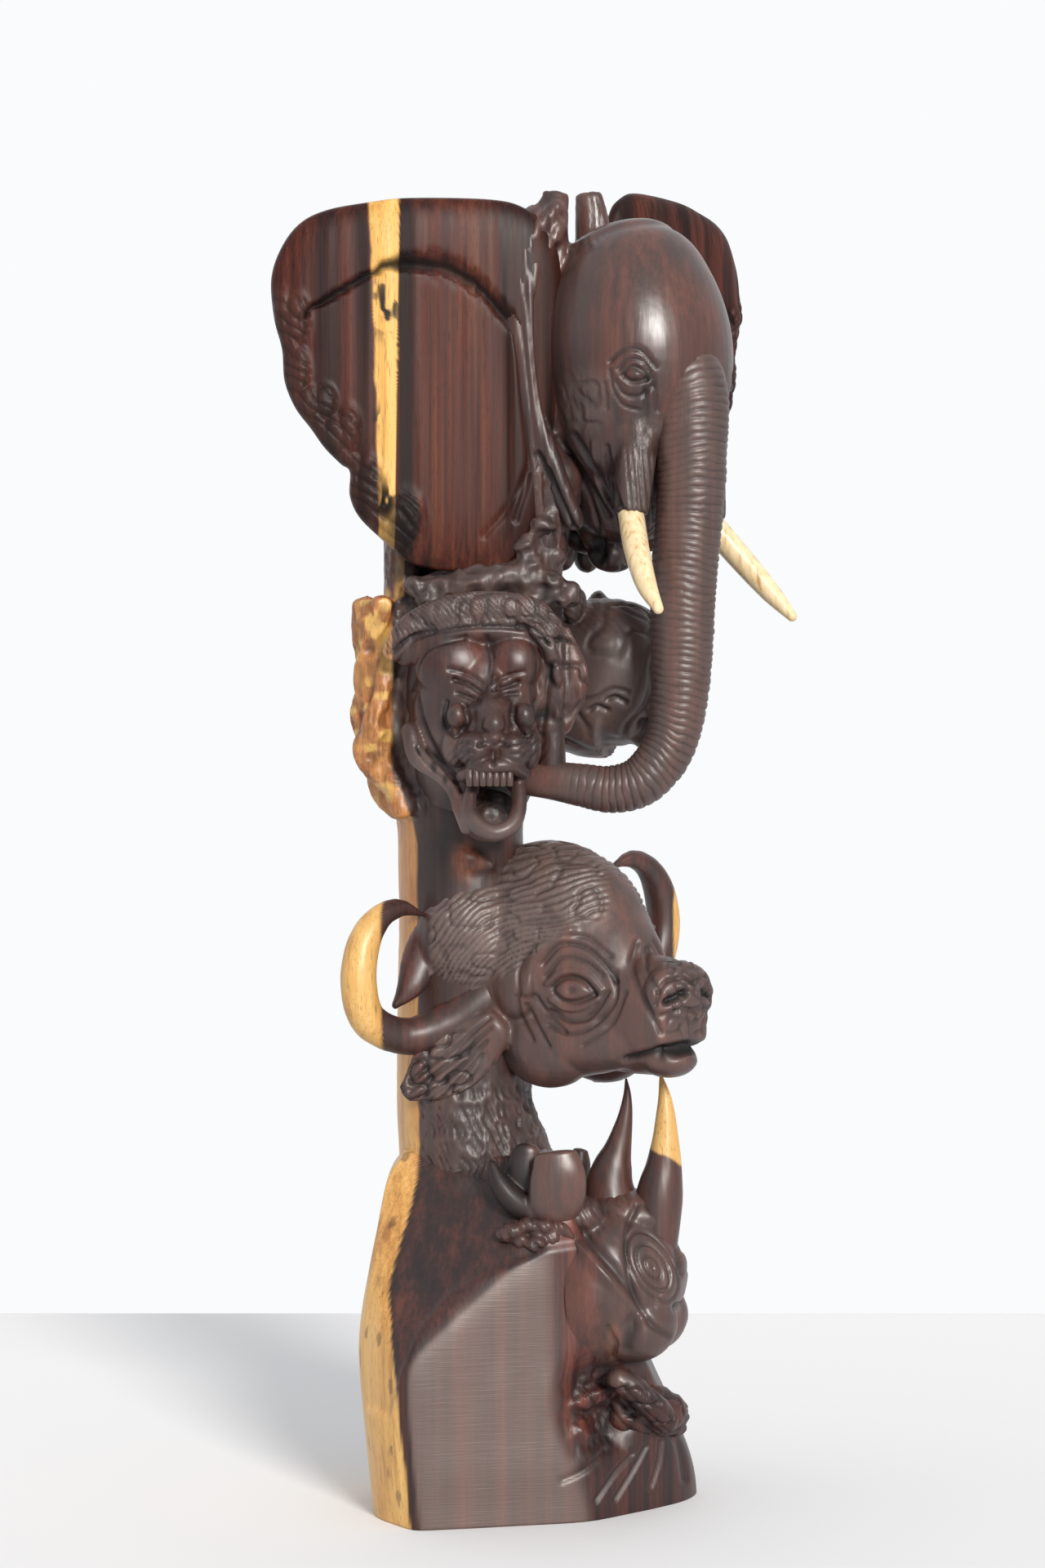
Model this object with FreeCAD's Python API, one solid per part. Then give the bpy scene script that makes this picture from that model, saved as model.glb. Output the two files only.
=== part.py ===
import FreeCAD, Part

import math
import os

# A standing totem carved from one log of dark hardwood: a rhino's head on the block at the foot, a
# buffalo's above it, a lion and a leopard side by side, and an elephant on top whose trunk curls down
# to the lion's mane. The log's pale sapwood is left on its -X edge, and the two tusks are plugged in.
# Millimetres. The origin is the middle of the foot, +Z is up and the display side faces -Y.

Vector = FreeCAD.Vector
UP = Vector(0, 0, 1)

# ---------------------------------------------------------------- driving dimensions
total_height = 500.0         # floor to the top of the right ear
block_width = 126.0          # foot, along X
block_depth = 122.0          # foot, along Y
plinth_height = 44.0         # full round of the log under the rhino
block_height = 100.0         # where the body of the block turns in to the shoulder
flat_turn = 17.0             # degrees that the dressed flat is turned towards +X
flat_inset = 10.0            # how deep the flat is cut into the round of the log

column_x = -20.0             # middle of the spine that the heads grow from
column_y = 6.0
column_width = 70.0
column_depth = 60.0

rhino_length = 78.0
rhino_radius = 31.0
rhino_horn = 44.0            # how far the front horn stands above the head
rhino_ear = 30.0

buffalo_length = 80.0
buffalo_radius = 34.0
buffalo_tall = 48.0          # half the height of the head at the brow
horn_reach = 73.0            # sideways from the middle of the head to the bend of a horn
horn_rise = 24.0             # from the root of a horn to its top
horn_radius = 8.0
buffalo_ear = 44.0

lion_radius = 31.0
lion_tall = 44.0             # half the height of mane and face
muzzle_reach = 30.0
jaw_drop = 35.0

leopard_radius = 25.0
leopard_tall = 33.0

skull_radius = 36.0
skull_tall = 50.0            # half the height of the elephant's skull
trunk_radius = 13.0
ear_reach = 107.0            # right ear, from its root to its edge
ear_height = 142.0
ear_thickness = 12.0

tusk_length = 50.0
tusk_radius = 4.6
tenon_radius = 2.6
tenon_length = 9.0
glue_gap = 0.1               # all round a tenon, for glue

# heights of the middles of the heads, and of the top of the spine
rhino_at = 0.172 * total_height
buffalo_at = 0.406 * total_height
lion_at = 0.592 * total_height
leopard_at = 0.628 * total_height
elephant_at = 0.878 * total_height
column_top = 0.80 * total_height

# the plane that parts heartwood from sapwood lies inside both the spine and the block
sapwood_at = max(column_x - 0.386 * column_width, -0.44 * block_width)


# ---------------------------------------------------------------- building blocks
def heading(degrees):
    """The level direction that a head looks in: 0 is +X and 90 is the display side, -Y."""
    a = math.radians(degrees)
    return Vector(math.cos(a), -math.sin(a), 0)


def right_of(forward):
    """The level direction on the right of an animal that looks forward."""
    return forward.cross(UP)


def oval(middle, across, upward, half_width, half_height, points=12):
    """A closed smooth oval in the plane of two directions."""
    ring = []
    for i in range(points):
        a = 2 * math.pi * i / points
        ring.append(middle + across * (half_width * math.cos(a)) + upward * (half_height * math.sin(a)))
    curve = Part.BSplineCurve()
    curve.interpolate(Points=ring, PeriodicFlag=True)
    return Part.Wire(curve.toShape())


def skin(ovals):
    """A closed solid through a row of ovals."""
    return Part.makeLoft(ovals, True, False)


def tube(path, radii, flat=1.0, stations=12):
    """A solid along a smooth path with a radius for each of its points; flat widens it sideways."""
    curve = Part.BSplineCurve()
    curve.interpolate(path)
    marks = [curve.parameter(p) for p in path]
    rings, across = [], None
    for i in range(stations + 1):
        t = marks[0] + (marks[-1] - marks[0]) * i / stations
        k = 0
        while k < len(marks) - 2 and t > marks[k + 1]:
            k += 1
        share = (t - marks[k]) / (marks[k + 1] - marks[k])
        radius = radii[k] + (radii[k + 1] - radii[k]) * share
        along = curve.tangent(t)[0]
        if across is None:
            across = along.cross(UP) if abs(along.z) < 0.9 else along.cross(Vector(0, 1, 0))
        across = (across - along * across.dot(along)).normalize()
        rings.append(oval(curve.value(t), across, along.cross(across), radius * flat, radius))
    return skin(rings)


def head(middle, forward, rows):
    """A head as ovals along its own forward line: (distance ahead, rise, half width, half height)."""
    side = right_of(forward)
    return skin([oval(middle + forward * ahead + UP * rise, side, UP, wide, high)
                 for ahead, rise, wide, high in rows])


def without(solid, others):
    """The solid with every other solid's space cut away, largest piece kept."""
    for other in others:
        if solid.BoundBox.intersect(other.BoundBox):
            solid = solid.cut(other)
    return max(solid.Solids, key=lambda s: s.Volume)


# ---------------------------------------------------------------- the log: block and spine
def make_block():
    """The foot: a round log with one dressed flat, cut back on the rhino's side above the plinth."""
    half, deep = block_width / 2, block_depth / 2
    body_foot = plinth_height - 14
    top = block_height + 46
    seat = (column_x / half, column_width / 2 / half, column_depth / 2 / deep)
    plinth = [(0, 0, 0.98, 0.98), (0.4 * plinth_height, 0, 1.0, 1.0), (0.8 * plinth_height, 0, 0.99, 0.99),
              (plinth_height, -0.01, 0.90, 0.90)]
    body = [(body_foot, -0.18, 0.84, 0.94), (0.5 * (body_foot + block_height), -0.22, 0.84, 0.94),
            (block_height, -0.26, 0.71, 0.84),
            (0.5 * (block_height + top), seat[0] + 0.03, seat[1] + 0.05, seat[2] + 0.13),
            (top, seat[0], seat[1] - 0.03, seat[2])]
    solids = []
    for rows in (plinth, body):
        solids.append(skin([oval(Vector(half * shift, 0, z), Vector(1, 0, 0), Vector(0, 1, 0),
                                 half * wide, deep * far) for z, shift, wide, far in rows]))
    side = 4 * block_width
    beyond_flat = Part.makeBox(side, side, side, Vector(-side / 2, -side - deep + flat_inset, -side / 2))
    beyond_flat.rotate(Vector(0, 0, 0), UP, flat_turn)
    return without(solids[0].fuse(solids[1]).removeSplitter(), [beyond_flat])


def make_spine(block):
    """The spine, with the sapwood swelling out beside the lion."""
    foot = block_height + 30
    span = column_top - foot
    rows = [(0, 0, 1.0), (0.12, 0, 1.0), (0.38, 0, 1.0), (0.52, -0.04, 1.06), (0.62, -0.10, 1.16),
            (0.74, -0.10, 1.16), (0.83, -0.05, 0.94), (0.91, 0, 0.86), (1.0, 0.16, 0.70)]
    ovals = [oval(Vector(column_x + column_width * shift, column_y, foot + span * up), Vector(1, 0, 0),
                  Vector(0, 1, 0), column_width / 2 * wide, column_depth / 2 * min(wide, 1.0))
             for up, shift, wide in rows]
    return without(skin(ovals), [block])


def split_sapwood(solid):
    """(heartwood, sapwood) of a solid, parted on the plane x = sapwood_at."""
    side = 4 * total_height
    bark_side = Part.makeBox(side, side, side, Vector(sapwood_at - side, -side / 2, -side / 2))
    heart, pale = solid.cut(bark_side), solid.common(bark_side)
    return max(heart.Solids, key=lambda s: s.Volume), max(pale.Solids, key=lambda s: s.Volume)


# ---------------------------------------------------------------- rhino
def make_rhino():
    """(head, forward, middle) of the square-lipped head that hugs the block."""
    forward = heading(14)
    middle = Vector(0.11 * block_width, -0.14 * block_depth, rhino_at)
    r, n = rhino_radius, rhino_length
    rows = [(-0.42 * n, 0.25 * r, 0.7 * r, 0.8 * r), (-0.15 * n, 0.10 * r, 1.05 * r, 1.05 * r),
            (0.12 * n, 0, 1.12 * r, 1.18 * r), (0.36 * n, -0.06 * r, 1.0 * r, 1.14 * r),
            (0.50 * n, -0.14 * r, 0.80 * r, 1.0 * r), (0.57 * n, -0.20 * r, 0.55 * r, 0.76 * r)]
    return head(middle, forward, rows), forward, middle


def make_rhino_horn(middle, forward, ahead, height, radius):
    foot = middle + forward * (rhino_length * ahead) + UP * (0.7 * rhino_radius)
    top = 0.35 * rhino_radius + height
    path = [foot, foot + forward * (0.10 * height) + UP * (0.55 * top), foot + forward * (0.06 * height) + UP * top]
    return tube(path, [radius, 0.66 * radius, 0.12 * radius], stations=6)


def make_leaf(root, direction, length, half_width, thickness):
    """A short leaf-shaped ear."""
    path = [root, root + direction * (0.4 * length), root + direction * (0.75 * length), root + direction * length]
    radii = [0.8 * thickness, thickness, 0.9 * thickness, 0.35 * thickness]
    return tube(path, radii, flat=half_width / thickness, stations=6)


# ---------------------------------------------------------------- buffalo
def make_buffalo():
    """(head, forward, middle of the brow)."""
    forward = heading(45)
    middle = Vector(column_x + 0.29 * column_width, column_y - 0.05 * column_depth, buffalo_at)
    w, h, n = buffalo_radius, buffalo_tall, buffalo_length
    rows = [(-0.30 * n, 0, 0.75 * w, 0.62 * h), (0, 0, w, h), (0.28 * n, -2, w, 0.97 * h),
            (0.52 * n, -9, 0.80 * w, 0.80 * h), (0.70 * n, -12, 0.58 * w, 0.55 * h),
            (0.88 * n, -13, 0.46 * w, 0.48 * h), (n, -15, 0.34 * w, 0.36 * h)]
    return head(middle, forward, rows), forward, middle


def make_buffalo_horn(middle, forward, side, lean, lift):
    """A horn that leaves the brow sideways, hooks down and closes upwards; lean is towards the nape."""
    rows = [(0.26, -0.30, 0.0, 1.0), (0.49, -0.85, 0.4, 0.90), (0.71, -1.0, 0.8, 0.86), (0.93, -0.75, 1.0, 0.85),
            (1.0, -0.12, 1.0, 0.82), (0.96, 0.46, 1.0, 0.72), (0.88, 0.83, 0.95, 0.60), (0.74, 1.0, 0.9, 0.42),
            (0.62, 0.92, 0.85, 0.16)]
    path = [middle + side * (horn_reach * out) + UP * (horn_rise * up + lift) - forward * (lean * back)
            for out, up, back, _ in rows]
    return tube(path, [horn_radius * row[3] for row in rows], stations=16)


# ---------------------------------------------------------------- lion and leopard
def make_lion():
    """(mane and face, lower jaw) of the roaring lion."""
    forward = heading(72)
    middle = Vector(column_x, column_y - 0.42 * column_depth, lion_at)
    r, tall = lion_radius, lion_tall
    mane = head(middle, forward, [(-0.7 * r, 0, 0.6 * r, 0.6 * tall), (-0.2 * r, 0, 1.02 * r, tall),
                                  (0.25 * r, 0, 0.98 * r, 0.95 * tall), (0.6 * r, 0, 0.74 * r, 0.70 * tall),
                                  (0.78 * r, 0, 0.4 * r, 0.36 * tall)])
    lip = middle + forward * (0.25 * r) - UP * (0.22 * tall)
    reach = muzzle_reach
    muzzle = tube([lip, lip + forward * (0.5 * reach) - UP * 3, lip + forward * reach - UP * 6],
                  [15.0, 13.0, 8.0], flat=1.25, stations=6)
    chin = middle + forward * (0.2 * r) - UP * (0.22 * tall + 0.8 * jaw_drop)
    jaw = tube([chin, chin + forward * (0.5 * reach) - UP * (0.1 * jaw_drop),
                chin + forward * (0.9 * reach) - UP * (0.12 * jaw_drop)], [9.5, 8.0, 5.5], flat=1.6, stations=6)
    return mane.fuse(muzzle).removeSplitter(), jaw


def make_leopard():
    forward = heading(20)
    middle = Vector(column_x + 0.72 * column_width, column_y + 0.22 * column_depth, leopard_at)
    r, tall = leopard_radius, leopard_tall
    return head(middle, forward, [(-1.7 * r, -2, 0.55 * r, 0.6 * tall), (-0.7 * r, 0, 0.95 * r, 0.95 * tall),
                                  (0, 0, r, tall), (0.55 * r, -3, 0.78 * r, 0.76 * tall),
                                  (0.95 * r, -6, 0.45 * r, 0.42 * tall)])


# ---------------------------------------------------------------- elephant
def make_skull():
    """(skull, middle, forward)."""
    forward = heading(45)
    middle = Vector(column_x + 0.84 * column_width, column_y - 0.14 * column_depth, elephant_at)
    side, r, tall = right_of(forward), skull_radius, skull_tall
    rows = [(0.97, -7, 0.34), (0.84, -3, 0.68), (0.50, 1, 0.96), (0.05, 3, 1.03), (-0.35, 2, 0.96),
            (-0.80, -2, 0.80), (-1.20, -8, 0.60), (-1.60, -14, 0.36)]
    ovals = [oval(middle + forward * ahead + UP * (tall * up), forward, side, r * share, r * share)
             for up, ahead, share in rows]
    return skin(ovals), middle, forward


def make_neck(middle, forward):
    """The bridge of wood that ties the jaw and the ears to the spine."""
    spine_top = Vector(column_x, column_y, column_top - 14)
    return tube([spine_top, middle - forward * (0.5 * skull_radius) - UP * (0.6 * skull_tall)],
                [0.36 * column_width, 0.5 * skull_radius], stations=5)


def make_trunk(middle, forward):
    """The trunk: down from the brow, then back in one loop to the lion's mane."""
    root = middle + forward * (0.40 * skull_radius) - UP * (0.20 * skull_tall)
    front = middle + forward * (0.78 * skull_radius)
    drop = elephant_at - lion_at
    back = column_x + 0.2 * column_width - front.x
    rows = [(0, 0.25, 1.0), (0.04, 0.55, 0.92), (0.06, 0.86, 0.80), (0.08, 1.0, 0.74), (0.19, 1.11, 0.66),
            (0.46, 1.175, 0.60), (0.76, 1.15, 0.54), (1.0, 1.165, 0.40)]
    path = [root] + [front + Vector(back * along, -4 * min(1.0, 3 * along), -drop * down) for along, down, _ in rows]
    return tube(path, [1.2 * trunk_radius] + [trunk_radius * row[2] for row in rows], stations=20)


def make_ear(root, outward, reach, lift):
    """A broad flat ear as thin upright ovals that step outwards: (share of reach, top, foot)."""
    rows = [(-0.10, 0.92, 0.30), (0.0, 0.98, 0.13), (0.23, 1.0, 0.0), (0.52, 0.99, 0.01), (0.72, 0.97, 0.22),
            (0.86, 0.95, 0.36), (0.95, 0.87, 0.50), (1.0, 0.77, 0.62)]
    through = outward.cross(UP)
    ovals = []
    for share, top, foot in rows:
        middle = root + outward * (reach * share) + UP * (lift + ear_height * (top + foot) / 2)
        ovals.append(oval(middle, through, UP, ear_thickness / 2, ear_height * (top - foot) / 2))
    return skin(ovals)


def tusk_line(middle, forward, side):
    """(root point, unit direction) of a tusk."""
    root = middle + forward * (0.5 * skull_radius) + side * (1.7 * trunk_radius) - UP * (1.28 * skull_tall)
    return root, (forward * 27 + side * 15 - UP * 35).normalize()


def make_sheath(root, direction):
    """The lip that a tusk comes out of, blended up into the cheek."""
    inward = Vector(-direction.x, -direction.y, 0)
    return tube([root - direction * 40 + inward * 14, root - direction * 14, root],
                [2.2 * tusk_radius, 2.0 * tusk_radius, 1.4 * tusk_radius], stations=5)


def make_tusk(root, direction, side):
    """(tusk on its tenon, the socket that it is glued in)."""
    bow = side * (0.05 * tusk_length) - UP * (0.04 * tusk_length)
    path = [root, root + direction * (0.5 * tusk_length) + bow, root + direction * tusk_length]
    shaft = tube(path, [tusk_radius, 0.8 * tusk_radius, 0.16 * tusk_radius], stations=8)
    tenon = Part.makeCylinder(tenon_radius, tenon_length + 1, root + direction, direction * -1)
    socket = Part.makeCylinder(tenon_radius + glue_gap, tenon_length + glue_gap + 1, root + direction, direction * -1)
    return shaft.fuse(tenon).removeSplitter(), socket


# ---------------------------------------------------------------- the assembly
def build():
    nodes = {}
    block = make_block()
    spine = make_spine(block)
    nodes["rhino_block"], nodes["sapwood_block_edge"] = split_sapwood(block)
    nodes["spine"], nodes["sapwood_spine_edge"] = split_sapwood(spine)
    log = [block, spine]

    rhino, forward, middle = make_rhino()
    nodes["rhino_head"] = without(rhino, log)
    front_horn = make_rhino_horn(middle, forward, 0.50, rhino_horn, 0.28 * rhino_radius)
    rear_horn = make_rhino_horn(middle, forward, 0.25, 0.9 * rhino_horn, 0.24 * rhino_radius)
    nodes["rhino_front_horn"] = without(front_horn, log + [rhino])
    nodes["rhino_rear_horn"] = without(rear_horn, log + [rhino, front_horn])
    rhino_parts = [rhino, front_horn, rear_horn]
    for name, turn in (("right", 1), ("left", -1)):
        side = right_of(forward) * turn
        root = middle - forward * (0.3 * rhino_radius) + side * (0.75 * rhino_radius) + UP * (0.6 * rhino_radius)
        ear = make_leaf(root, (side * 0.25 + UP).normalize(), rhino_ear, 0.36 * rhino_ear, 0.15 * rhino_ear)
        nodes["rhino_ear_" + name] = without(ear, log + rhino_parts)

    buffalo, forward, middle = make_buffalo()
    nodes["buffalo_head"] = without(buffalo, log + rhino_parts)
    for name, turn, lean, lift in (("right", 1, 20.0, 0.0), ("left", -1, 0.0, 14.0)):
        side = right_of(forward) * turn
        horn = make_buffalo_horn(middle, forward, side, lean, lift)
        nodes["buffalo_horn_" + name] = without(horn, log + [buffalo])
        root = middle + side * (0.92 * buffalo_radius) + forward * (0.35 * buffalo_radius)
        root = root - UP * (0.35 * buffalo_tall)
        droop = (side * 0.5 - forward * 0.5 - UP * 0.71).normalize()
        ear = make_leaf(root, droop, buffalo_ear, 0.26 * buffalo_ear, 0.13 * buffalo_ear)
        nodes["buffalo_ear_" + name] = without(ear, log + [buffalo, horn] + rhino_parts)

    lion, jaw = make_lion()
    nodes["lion_head"] = without(lion, log + [buffalo])
    nodes["lion_jaw"] = without(jaw, log + [lion, buffalo])
    leopard = make_leopard()
    nodes["leopard_head"] = without(leopard, log + [lion])
    middle_tier = [lion, leopard]

    skull, middle, forward = make_skull()
    sheaths, tusks, sockets = [], {}, []
    for name, turn in (("right", 1), ("left", -1)):
        side = right_of(forward) * turn
        root, direction = tusk_line(middle, forward, side)
        sheaths.append(make_sheath(root, direction))
        tusks[name], socket = make_tusk(root, direction, side)
        sockets.append(socket)
    fitted = sockets + list(tusks.values())
    skull = skull.fuse(sheaths + [make_neck(middle, forward)]).removeSplitter()
    trunk = make_trunk(middle, forward)
    nodes["elephant_head"] = without(skull, log + middle_tier + fitted)
    nodes["elephant_trunk"] = without(trunk, log + [skull] + middle_tier + fitted)
    top = total_height - ear_height
    for name, turn, aim, reach, lift in (("right", 1, 172.0, 1.0, -4.0), ("left", -1, -52.0, 0.8, 4.0)):
        root = middle - forward * (0.3 * skull_radius) + right_of(forward) * (turn * 0.75 * skull_radius)
        ear = make_ear(Vector(root.x, root.y, top), heading(aim), ear_reach * reach, lift)
        nodes["elephant_ear_" + name] = without(ear, log + [skull] + middle_tier)
        nodes["tusk_" + name] = tusks[name]
    return nodes


os.makedirs("parts", exist_ok=True)
for name, solid in build().items():
    solid.exportStep("parts/%s.step" % name)
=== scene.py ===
from functools import partial
from math import cos, pi, radians, sin

import bpy
import numpy as np
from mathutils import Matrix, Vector


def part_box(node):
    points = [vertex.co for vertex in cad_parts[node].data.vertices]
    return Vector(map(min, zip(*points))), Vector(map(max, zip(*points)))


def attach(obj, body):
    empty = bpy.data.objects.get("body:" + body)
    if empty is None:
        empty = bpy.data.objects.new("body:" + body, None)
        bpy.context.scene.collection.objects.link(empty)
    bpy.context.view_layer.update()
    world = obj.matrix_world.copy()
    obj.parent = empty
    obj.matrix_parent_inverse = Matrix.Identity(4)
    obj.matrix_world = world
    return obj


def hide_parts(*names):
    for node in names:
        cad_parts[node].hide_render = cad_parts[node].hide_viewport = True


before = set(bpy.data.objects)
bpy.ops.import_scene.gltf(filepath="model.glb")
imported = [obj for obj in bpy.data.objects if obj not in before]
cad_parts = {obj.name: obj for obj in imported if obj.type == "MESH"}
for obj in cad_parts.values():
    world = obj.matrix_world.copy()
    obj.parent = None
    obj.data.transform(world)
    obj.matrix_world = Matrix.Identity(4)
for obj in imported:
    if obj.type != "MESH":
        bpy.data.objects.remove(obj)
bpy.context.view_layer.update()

# ------------------------------------------------------------------ camera, floor and studio light
# The totem stands on a pale table in a white room. A broad key lamp shines from the front, a little to the
# right and above. The room lights the wood softly from the left, behind and above. The lens is level.
def add(tree, kind, values=None, links=None, **settings):
    """A shader node with its settings, the values of its sockets and the links into them."""
    made = tree.nodes.new("ShaderNode" + kind)
    for setting, value in settings.items():
        setattr(made, setting, value)
    for socket, value in (values or {}).items():
        made.inputs[socket].default_value = value
    for socket, source in (links or {}).items():
        tree.links.new(source, made.inputs[socket])
    return made


def white_room():
    """White to the eye. As light, its strength rises evenly along one slanting line, from the faintest in
    front, to the right and below, to the strongest behind, to the left and above."""
    to_strongest = (-0.42, 0.65, 0.52)
    faintest, strongest, to_the_eye = 0.16, 1.10, 0.98
    world = bpy.data.worlds.new("white room")
    world.use_nodes = True
    tree = world.node_tree
    way = add(tree, "TexCoord").outputs["Generated"]
    slope = add(tree, "VectorMath", {1: to_strongest}, {0: way}, operation="DOT_PRODUCT").outputs["Value"]
    level = add(tree, "MapRange", {1: -1.0, 2: 1.0, 3: faintest, 4: strongest}, {0: slope}).outputs[0]
    straight = add(tree, "LightPath").outputs["Is Camera Ray"]
    chosen = add(tree, "Mix", {3: to_the_eye}, {0: straight, 2: level}).outputs[0]
    back = tree.nodes["Background"].inputs
    back["Color"].default_value = (0.97, 0.985, 1.0, 1)
    tree.links.new(chosen, back["Strength"])
    return world


def table_top():
    """A level sheet, four corners in metres, that reaches far in front of the totem and a little behind it."""
    side, near, far = 4.5, -2.6, 0.42
    mesh = bpy.data.meshes.new("table")
    mesh.from_pydata([(-side, near, 0), (side, near, 0), (side, far, 0), (-side, far, 0)], [], [(0, 1, 2, 3)])
    sheet = bpy.data.objects.new("table", mesh)
    bpy.context.scene.collection.objects.link(sheet)
    return sheet


lens = bpy.data.cameras.new("camera")
lens.lens, lens.sensor_width = 73.1, 36.0
camera = bpy.data.objects.new("camera", lens)
camera.location = (-0.0047, -1.228, 0.274)
camera.rotation_euler = (radians(90), 0, 0)
bpy.context.scene.collection.objects.link(camera)
bpy.context.scene.camera = camera
bpy.context.scene.view_settings.view_transform = "Standard"

paper = bpy.data.materials.new("pale table paper")
paper.use_nodes = True
sockets = paper.node_tree.nodes["Principled BSDF"].inputs
sockets["Base Color"].default_value = (0.74, 0.74, 0.75, 1)
sockets["Roughness"].default_value = 0.95
sockets["Specular IOR Level"].default_value = 0.1
floor = table_top()
floor.data.materials.append(paper)

bpy.context.scene.world = white_room()
key = bpy.data.lights.new("key", "SUN")
key.energy, key.angle, key.color = 3.9, radians(16), (1.0, 0.965, 0.92)
lamp = bpy.data.objects.new("key", key)
shines_towards = Vector((-0.33, 0.86, -0.37))
lamp.rotation_euler = shines_towards.to_track_quat("-Z", "Y").to_euler()
bpy.context.scene.collection.objects.link(lamp)


# ------------------------------------------------------------------ the foot of the log
# The sawn end of the log with one broad filed flat in front, a sapwood facet on the left, and a
# shoulder above that slopes back to the spine. Heartwood and sapwood, cut, filed and waxed.
def middle_of(node, ahead=(0, 0, 0)):
    """The middle of a CAD node's box in millimetres, moved by a small offset."""
    low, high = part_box(node)
    return (np.array(low) + np.array(high)) * 500 + np.array(ahead, float)


def smooth_path(points, count, closed=False):
    """Between two given points runs the cubic whose slope at each is half the step between its neighbours."""
    p = np.asarray(points, float)
    p = np.vstack([p[-1:], p, p[:2]]) if closed else np.vstack([2 * p[0] - p[1], p, 2 * p[-1] - p[-2]])
    t = np.linspace(0, len(p) - 3, count, endpoint=not closed)
    i = np.minimum(t.astype(int), len(p) - 4)
    f = (t - i)[:, None]
    a, b, c, d = p[i], p[i + 1], p[i + 2], p[i + 3]
    return 0.5 * (2 * b + (c - a) * f + (2 * a - 5 * b + 4 * c - d) * f**2 + (3 * b - a - 3 * c + d) * f**3)


def ease(value, low, high):
    """0 below low, 1 above high, and an S curve between."""
    t = np.clip((value - low) / (high - low), 0, 1)
    return t * t * (3 - 2 * t)


def wander(points, size, seed):
    """Smooth random values from -1 to 1: numbers at the corners of a grid of cells, blended between them."""
    table = np.random.default_rng(seed).uniform(-1, 1, 4096)
    q = np.asarray(points, float) / np.asarray(size, float) + 100.5
    i = np.floor(q).astype(np.int64)
    f = q - i
    f = f * f * (3 - 2 * f)
    total = np.zeros(len(q))
    for corner in range(8):
        o = np.array([corner & 1, corner >> 1 & 1, corner >> 2 & 1])
        j = i + o
        key = (j[:, 0] * 73856093 ^ j[:, 1] * 19349663 ^ j[:, 2] * 83492791) & 4095
        total += table[key] * np.prod(np.where(o, f, 1 - f), axis=1)
    return total


def line_distance(x, z, points, reach):
    """Distance from each (x, z) to a smooth line through points, never more than reach."""
    path = smooth_path(points, 5 * len(points))
    low, high = path.min(0) - reach, path.max(0) + reach
    near = np.full(len(x), float(reach))
    close = np.flatnonzero((x > low[0]) & (x < high[0]) & (z > low[1]) & (z < high[1]))
    q = np.stack([x[close], z[close]], axis=1)
    best = near[close]
    for a, b in zip(path[:-1], path[1:]):
        d = b - a
        t = np.clip((q - a) @ d / max(d @ d, 1e-9), 0, 1)
        best = np.minimum(best, np.linalg.norm(q - a - t[:, None] * d, axis=1))
    near[close] = best
    return near


def cuts(x, z, lines):
    """Gouged lines (half width, depth, points): each sinks the wood by its depth times a bell of the distance
    from its line. A depth below 0 raises a ridge."""
    relief = np.zeros(len(x))
    for width, depth, points in lines:
        relief -= depth * np.exp(-(line_distance(x, z, points, 3 * width) / width) ** 2)
    return relief


def knob(x, z, cx, cz, half_x, half_z):
    """1 on a small oval, falling off round it as a bell of the fourth power."""
    return np.exp(-(((x - cx) / half_x) ** 2 + ((z - cz) / half_z) ** 2) ** 2)


def furrow(phase, pitch):
    """0 on the crest of each strand and 1 in the narrow cut between two, one cut per pitch."""
    return 1 - np.abs(np.sin(phase * pi / pitch)) ** 0.6


def ring_faces(rows, around):
    """Faces of a grid of closed rings with a pole point before the first ring and one after the last."""
    r = np.arange(rows - 1)[:, None] * around + 1
    k = np.arange(around)[None, :]
    n = (k + 1) % around
    quads = np.stack([r + k, r + n, r + n + around, r + k + around], axis=2).reshape(-1, 4)
    last = 1 + (rows - 1) * around
    foot = np.stack([np.zeros(around, int), 1 + n[0], 1 + k[0]], axis=1)
    top = np.stack([np.full(around, last + around), last + k[0], last + n[0]], axis=1)
    return quads, np.vstack([foot, top])


def normals_of(points, quads):
    """Each point's normal: the sum of the crossed diagonals of the faces round it, made one long."""
    across = np.cross(points[quads[:, 2]] - points[quads[:, 0]], points[quads[:, 3]] - points[quads[:, 1]])
    total = np.zeros_like(points)
    for corner in range(4):
        for axis in range(3):
            total[:, axis] += np.bincount(quads[:, corner], across[:, axis], len(points))
    return total / np.maximum(np.linalg.norm(total, axis=1), 1e-9)[:, None]


def linear(code):
    """A screen colour in hexadecimal as linear light."""
    v = np.array([int(code[k:k + 2], 16) for k in (1, 3, 5)]) / 255
    return tuple(np.where(v <= 0.04045, v / 12.92, ((v + 0.055) / 1.055) ** 2.4)) + (1.0,)


def ramp(tree, source, stops):
    """A colour ramp with (place, colour code) stops."""
    made = add(tree, "ValToRGB", links={0: source})
    while len(made.color_ramp.elements) < len(stops):
        made.color_ramp.elements.new(0.5)
    for element, (place, code) in zip(made.color_ramp.elements, stops):
        element.position, element.color = place, linear(code)
    return made.outputs[0]


def mix(tree, factor, a, b, blend="MIX"):
    """Two colours mixed by a factor."""
    made = add(tree, "Mix", data_type="RGBA", blend_type=blend)
    for place, value in ((0, factor), (6, a), (7, b)):
        if isinstance(value, (int, float, tuple)):
            made.inputs[place].default_value = value
        else:
            tree.links.new(value, made.inputs[place])
    return made.outputs[2]


def maths(tree, what, a, b=0.0, clamp=False):
    """One sum on two values."""
    made = add(tree, "Math", operation=what, use_clamp=clamp)
    for place, value in ((0, a), (1, b)):
        if isinstance(value, (int, float)):
            made.inputs[place].default_value = value
        else:
            tree.links.new(value, made.inputs[place])
    return made.outputs[0]


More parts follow.
